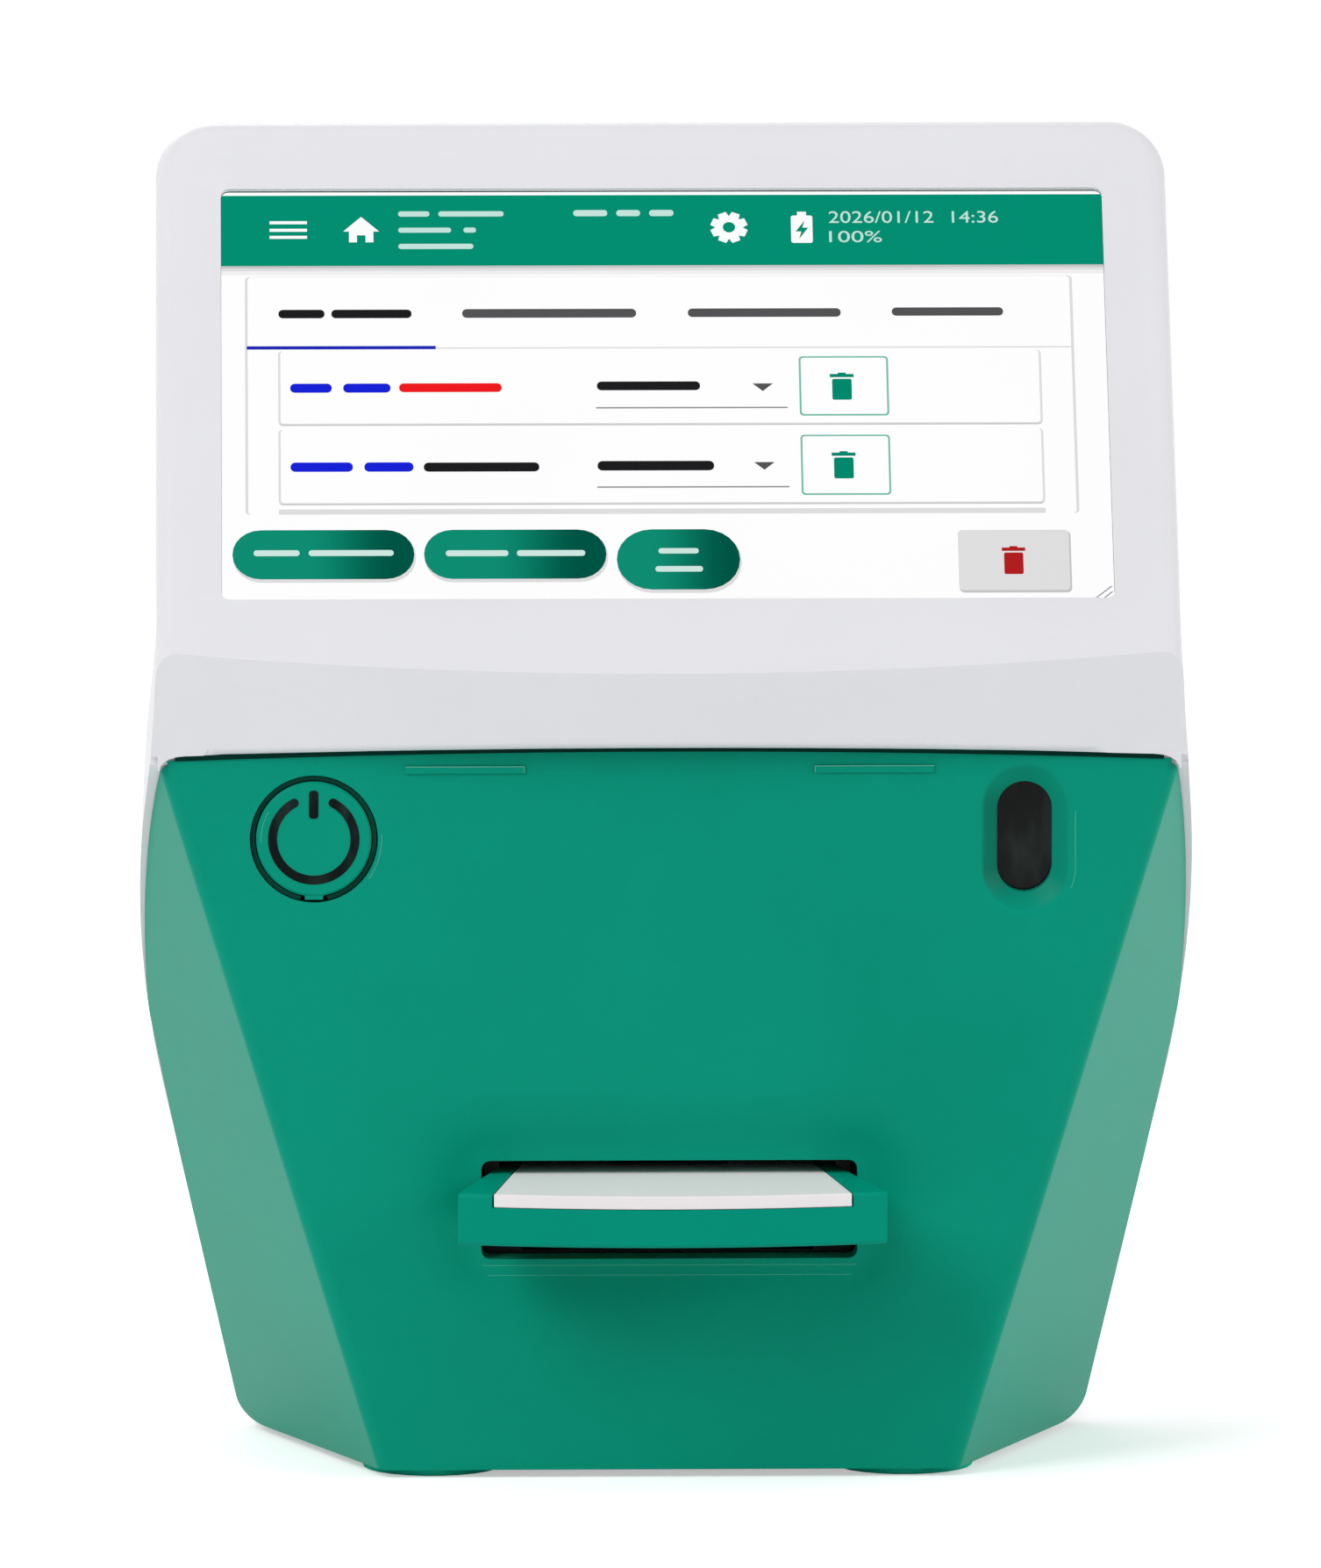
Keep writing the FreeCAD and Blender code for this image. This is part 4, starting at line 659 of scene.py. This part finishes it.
def drawList():
    plate(4.2, 18.0, 149.9, 68.0, "shade", 1, 0.8)
    plate(4.7, 18.1, 149.4, 68.0, "paper", 2, 0.7)
    plate(4.5, 33.0, 149.6, 33.3, "shade", 3)
    plate(4.5, 32.7, 37.7, 33.4, "underline", 4)
    words([(10.1, 18.2), (19.4, 33.5)], 24.1, 27.7, "black", 3)
    words([(42.4, 73.0)], 24.0, 27.7, "dark", 3)
    words([(82.1, 109.0)], 24.0, 27.6, "dark", 3)
    words([(118.0, 137.6)], 23.9, 27.4, "dark", 3)
    for top, bottom in ((33.8, 49.0), (50.3, 65.6)):
        plate(10.1, top + 0.3, 143.9, bottom + 0.45, "shadeDark", 3, 0.7)
        plate(10.0, top, 144.0, bottom + 0.2, "shade", 4, 0.7)
        plate(10.4, top, 143.6, bottom, "paper", 5, 0.6)
        plate(65.7, bottom - 3.3, 99.3, bottom - 3.0, "line", 6)
        shape([(93.2, top + 7.0), (96.8, top + 7.0), (95.0, top + 8.6)], "dark", 6)
        plate(101.4, top + 1.3, 117.1, bottom - 1.4, "mint", 6, 0.7)
        plate(101.75, top + 1.65, 116.75, bottom - 1.75, "paper", 7, 0.5)
        wasteBin(106.8, top + 4.8, 111.0, top + 10.5, "green", 8)
    plate(10.0, 66.9, 144.0, 68.0, "shade", 3, 0.3)
    words([(12.1, 19.4), (21.4, 29.7)], 39.7, 43.5, "blue", 6)
    words([(31.2, 49.2)], 39.7, 43.4, "red", 6)
    words([(65.9, 84.0)], 39.4, 43.1, "black", 6)
    words([(12.1, 23.0), (25.0, 33.6)], 56.2, 60.1, "blue", 6)
    words([(35.4, 55.6)], 56.3, 60.1, "black", 6)
    words([(65.8, 86.2)], 56.0, 60.0, "black", 6)


def drawButtons():
    top = 71.2
    for left, right, bottom, ink in ((1.9, 33.6, 81.4, "pillOne"), (35.3, 67.1, 81.4, "pillTwo"),
                                     (68.9, 90.4, 83.7, "pillThree")):
        radius = (bottom - top) / 2 - 0.1
        plate(left + 0.1, 71.6, right + 0.3, bottom + 0.7, "shade", 1, radius)
        plate(left, top, right, bottom, ink, 2, radius)
    words([(5.6, 13.6), (15.2, 30.0)], 74.8, 77.2, "pillText", 3)
    words([(39.1, 50.0), (51.5, 63.4)], 74.9, 77.3, "pillText", 3)
    words([(76.2, 83.2)], 74.6, 76.8, "pillText", 3)
    words([(75.6, 83.9)], 78.3, 80.6, "pillText", 3)
    plate(128.6, 71.7, 148.2, 84.5, "shadeDark", 1, 0.9)
    plate(128.5, 71.5, 147.9, 84.0, "button", 2, 0.8)
    wasteBin(136.1, 74.9, 140.2, 80.7, "bin", 3)
    # two slanting lines in the lower right corner
    foot = 86.1
    for start, end in ((151.6, 155.2), (153.1, 155.3)):
        head = foot - (end - start) * 0.8
        shape([(start, foot), (start + 0.35, foot), (end + 0.1, head), (end - 0.25, head)], "line", 1)


def turnOutwards(work, outwards):
    # each thin plate shows its lid to the viewer
    bmesh.ops.recalc_face_normals(work, faces=work.faces)
    waiting = set(work.faces)
    while waiting:
        island = {waiting.pop()}
        rim = list(island)
        while rim:
            near = {g for e in rim.pop().edges for g in e.link_faces} - island
            island |= near
            rim += near
        waiting -= island
        lid = max(island, key=lambda f: f.calc_center_median().dot(outwards))
        if lid.normal.dot(outwards) < 0:
            bmesh.ops.reverse_faces(work, faces=list(island))


band(screen["rim"], screen["height"] - screen["rim"], "paper", 0, 1.3)
drawHeader()
drawList()
band(68.0, 70.4, "paper", 3)
drawButtons()
viewerWay = (screenPoint(0, 0, 1) - screenPoint(0, 0, 0)).normalized()
for ink, work in sheets.items():
    turnOutwards(work, viewerWay)
    finishPiece(work, "picture_" + ink, inks[ink].material, "housing", sharp=20)
print("screen picture drawn in", len(sheets), "inks")


def grow(work, faces, shift):
    # extrudes faces by a shift, and gives the faces at the far end
    grown = bmesh.ops.extrude_face_region(work, geom=faces)["geom"]
    bmesh.ops.translate(work, verts=[g for g in grown if isinstance(g, bmesh.types.BMVert)], vec=shift)
    return [g for g in grown if isinstance(g, bmesh.types.BMFace)]


def sweep(work, geometry, middle, axis, angle, steps, closed=False):
    bmesh.ops.spin(work, geom=geometry, cent=middle, axis=axis, dvec=(0, 0, 0), angle=angle, steps=steps,
                   use_merge=closed, use_duplicate=False)


def section(work, middle, radii, depths, degrees=0, up=0):
    # a rectangle beside a centre, turned about it: radii, depths behind the front and rise in millimetres
    way = math.radians(degrees)
    return work.faces.new([work.verts.new(middle + Vector((math.cos(way) * r, y, math.sin(way) * r + up)) * mm)
                           for r, y in ((radii[0], depths[0]), (radii[1], depths[0]), (radii[1], depths[1]),
                                        (radii[0], depths[1]))])


def bar(work, x0, x1, z0, z1, depth):
    return work.faces.new([work.verts.new((x * mm, frontY + depth * mm, z * mm))
                           for x, z in ((x0, z0), (x1, z0), (x1, z1), (x0, z1))])


def finishTrim(work, name, recipe, body, sharp=40):
    bmesh.ops.recalc_face_normals(work, faces=work.faces)
    finishPiece(work, name, recipe.material, body, sharp=sharp)


def highlight(name, colour):
    return mould(name, colour, roughness=0.4, grain=0.4, shade=0.03, specular=0.1)


# trim, painted highlights and painted shade on the front: millimetres and degrees, with depths measured behind
# the front face
buttonMiddle = Vector((-61.9 * mm, frontY, 112.4 * mm))
powerMark = {"outer": 7.96, "inner": 6.38, "gap": 28.0, "endDepth": 0.01, "barWidth": 1.67, "barLow": 3.56,
             "barHigh": 8.5, "barRound": 0.62, "proud": 0.04, "sunk": 0.1}


def inlayRecipe():
    recipe = Recipe("blackInlay", srgb(20, 23, 23), 0.22, specular=0.06)
    smoke = recipe.noise(scale=260.0, detail=3.0, roughness=0.6, vector=recipe.streaks(0.4, 0.7))
    recipe.set("Base Color", recipe.mix(recipe.between(smoke, 0.4, 0.7), srgb(6, 18, 15), srgb(30, 44, 41)))
    return recipe.set("Roughness", 0.18 + smoke * 0.12)


def makePowerMark():
    # an open ring with round ends, and an upright bar in its gap
    spec = powerMark
    work = bmesh.new()
    middle = buttonMiddle
    gap = math.radians(spec["gap"])
    start = math.radians(90 - spec["gap"])
    rim = [work.verts.new(middle + Vector((math.cos(start), 0, math.sin(start))) * r * mm)
           for r in (spec["inner"], spec["outer"])]
    line = work.edges.new(rim)
    sweep(work, rim + [line], middle, (0, 1, 0), math.radians(360 - 2 * spec["gap"]), steps=72)
    half = (spec["outer"] - spec["inner"]) / 2
    ring = (spec["outer"] + spec["inner"]) / 2
    flat = Matrix.Rotation(math.radians(90), 4, "X")
    for side in (-1, 1):
        at = middle + Vector((math.sin(gap) * side, spec["endDepth"] / ring, math.cos(gap))) * ring * mm
        bmesh.ops.create_circle(work, cap_ends=True, segments=24, radius=half * mm,
                                matrix=Matrix.Translation(at) @ flat)
    corners = [work.verts.new(middle + Vector((x * spec["barWidth"] / 2, 0, z)) * mm)
               for x, z in ((-1, spec["barLow"]), (1, spec["barLow"]), (1, spec["barHigh"]),
                            (-1, spec["barHigh"]))]
    work.faces.new(corners)
    roundCorners(work, corners, spec["barRound"] * mm)
    faces = list(work.faces)
    bmesh.ops.translate(work, verts=work.verts, vec=(0, -spec["proud"] * mm, 0))
    grow(work, faces, (0, (spec["proud"] + spec["sunk"]) * mm, 0))
    finishTrim(work, "powerMark", inlayRecipe(), "button", sharp=30)


lightSeal = {"radii": (9.2, 13.0), "depths": (4.0, 4.8)}


def makeLightSeal():
    # a foam ring behind the gap round the button keeps the inside dark
    spec = lightSeal
    work = bmesh.new()
    face = section(work, buttonMiddle, spec["radii"], spec["depths"])
    sweep(work, list(face.edges) + list(face.verts), buttonMiddle, (0, 1, 0), math.radians(360), steps=48,
          closed=True)
    bmesh.ops.delete(work, geom=[face], context="FACES_ONLY")
    bmesh.ops.remove_doubles(work, verts=work.verts, dist=0.001 * mm)
    finishTrim(work, "lightSeal", materials["foam"], "housing")


gapRing = {"radii": (10.25, 10.95), "depths": (0.8, 1.6), "web": 12.5}


def makeGapRing():
    # a dark green ring low in the gap round the button, open where the web crosses it: painted shade standing
    # in for the gap's shaded walls
    spec = gapRing
    work = bmesh.new()
    face = section(work, buttonMiddle, spec["radii"], spec["depths"], -90 + spec["web"])
    sweep(work, [face], buttonMiddle, (0, -1, 0), math.radians(360 - 2 * spec["web"]), steps=72)
    recipe = mould("paintedGapShade", srgb(8, 72, 58), roughness=0.5, grain=0.5, shade=0.06, specular=0.06)
    finishTrim(work, "gapRing", recipe, "housing")


hoodCorner = {"x": 84.4, "z": 124.5, "width": 4.3, "height": 2.5, "edge": 89.0, "top": 127.3, "near": -0.7,
              "far": 1.5, "steps": 10}


def makeHoodCorners():
    # small webs that round off the hood's opening at the front cover's upper corners
    spec = hoodCorner
    work = bmesh.new()
    arc = [math.radians(90 * i / spec["steps"]) for i in range(spec["steps"] + 1)]
    rim = [(spec["x"] + spec["width"] * math.sin(t), spec["z"] + spec["height"] * math.cos(t)) for t in arc]
    rim += [(spec["edge"], spec["z"]), (spec["edge"], spec["top"]), (spec["x"], spec["top"])]
    for side in (-1, 1):
        web = work.faces.new([work.verts.new((side * x * mm, frontY + spec["near"] * mm, z * mm))
                              for x, z in rim])
        grow(work, [web], (0, (spec["far"] - spec["near"]) * mm, 0))
    finishTrim(work, "hoodCorners", materials["white"], "housing")


glints = {
    "buttonGlint": {"body": "button", "radius": 9.1, "from": 148, "to": 184, "line": 0.13},
    "ringGlint": {"body": "housing", "radius": 11.75, "from": -36, "to": 4, "line": 0.13},
}
glintDepths = (-0.03, 0.2)


def makeGlints():
    # painted highlights: bright arcs on the button's rim and beside its ring
    for name, spec in glints.items():
        work = bmesh.new()
        face = section(work, buttonMiddle, (spec["radius"], spec["radius"] + spec["line"]), glintDepths,
                       spec["from"])
        sweep(work, [face], buttonMiddle, (0, -1, 0), math.radians(spec["to"] - spec["from"]), steps=12)
        finishTrim(work, name, highlight(name, srgb(80, 176, 152)), spec["body"])


scanRimHighlight = {"x": 61.9, "z": 107.0, "radius": 8.65, "line": 0.16, "rise": 10.0, "sweep": 24.0,
            "depths": (-0.03, 0.25)}
slotLipHighlight = {"half": 32.6, "line": 0.13, "thick": 0.4, "rows": ((37.3, 1.46), (35.55, 1.36))}


def makeLightLines():
    # painted highlights: hair-fine bright lines beside the scan window and on the slot's lower lip
    work = bmesh.new()
    spec = scanRimHighlight
    middle = Vector((spec["x"] * mm, frontY, spec["z"] * mm))
    face = section(work, middle, (spec["radius"], spec["radius"] + spec["line"]), spec["depths"],
                   up=spec["rise"])
    low = grow(work, [face], (0, 0, -spec["rise"] * mm))
    sweep(work, low, middle, (0, 1, 0), math.radians(spec["sweep"]), steps=8)
    bmesh.ops.remove_doubles(work, verts=work.verts, dist=0.001 * mm)
    # the face between the straight run and the arc lies inside
    bmesh.ops.delete(work, geom=[f for f in work.faces if all(len(e.link_faces) > 2 for e in f.edges)],
                     context="FACES_ONLY")
    spec = slotLipHighlight
    for z, depth in spec["rows"]:
        lip = bar(work, -spec["half"], spec["half"], z - spec["line"], z, depth)
        grow(work, [lip], (0, spec["thick"] * mm, 0))
    bmesh.ops.remove_doubles(work, verts=work.verts, dist=0.001 * mm)
    finishTrim(work, "lightLines", highlight("edgeHighlight", srgb(70, 176, 150)), "housing")


hoodGapShade = {"half": 86.0, "low": 126.1, "rise": 1.48, "height": 0.9, "near": -0.25, "far": 1.0}


def gapShadeRecipe():
    recipe = Recipe("gapShadeCord", srgb(0, 48, 40), 0.6, specular=0.05)
    grain = recipe.noise(scale=1500.0, detail=2.0, roughness=0.6)
    return recipe.set("Base Color", recipe.mix(grain, srgb(0, 36, 30), srgb(0, 58, 48)))


def makeHoodGapShade():
    # a dark cord lying in the arched gap between the hood and the front cover: painted shadow standing in for
    # the shade under the hood's lip
    spec = hoodGapShade
    radius = spec["half"] ** 2 / (2 * spec["rise"]) + spec["rise"] / 2
    work = bmesh.new()
    start = Vector((-spec["half"], frontY / mm, spec["low"]))
    face = work.faces.new([work.verts.new((start + Vector((0, y, z))) * mm)
                           for y, z in ((spec["near"], 0), (spec["far"], 0), (spec["far"], spec["height"]),
                                        (spec["near"], spec["height"]))])
    middle = Vector((0, 0, spec["low"] + spec["rise"] - radius)) * mm
    sweep(work, [face], middle, (0, 1, 0), 2 * math.asin(spec["half"] / radius), steps=40)
    finishTrim(work, "hoodGapShade", gapShadeRecipe(), "housing")


ribHighlightStrip = {"middle": 35.6, "half": 10.4, "z": 125.1, "line": 0.15, "tick": 1.15, "depth": -0.4, "thick": 0.3}


def makeRibEdges():
    # painted highlight: a pale strip along the upper edge of each rib, with a short tick at its inner end
    spec = ribHighlightStrip
    work = bmesh.new()
    low = spec["z"] - spec["line"]
    for side in (-1, 1):
        inner = side * (spec["middle"] - spec["half"])
        outer = side * (spec["middle"] + spec["half"])
        tickEnd = inner + side * spec["line"]
        bar(work, min(inner, outer), max(inner, outer), low, spec["z"], spec["depth"])
        bar(work, min(inner, tickEnd), max(inner, tickEnd), spec["z"] - spec["tick"], low, spec["depth"])
    grow(work, list(work.faces), (0, spec["thick"] * mm, 0))
    finishTrim(work, "ribEdges", highlight("ribHighlight", srgb(92, 180, 156)), "housing")


makePowerMark()
makeLightSeal()
makeGapRing()
makeHoodCorners()
makeGlints()
makeLightLines()
makeHoodGapShade()
makeRibEdges()
print("power symbol, seals and ribs made")
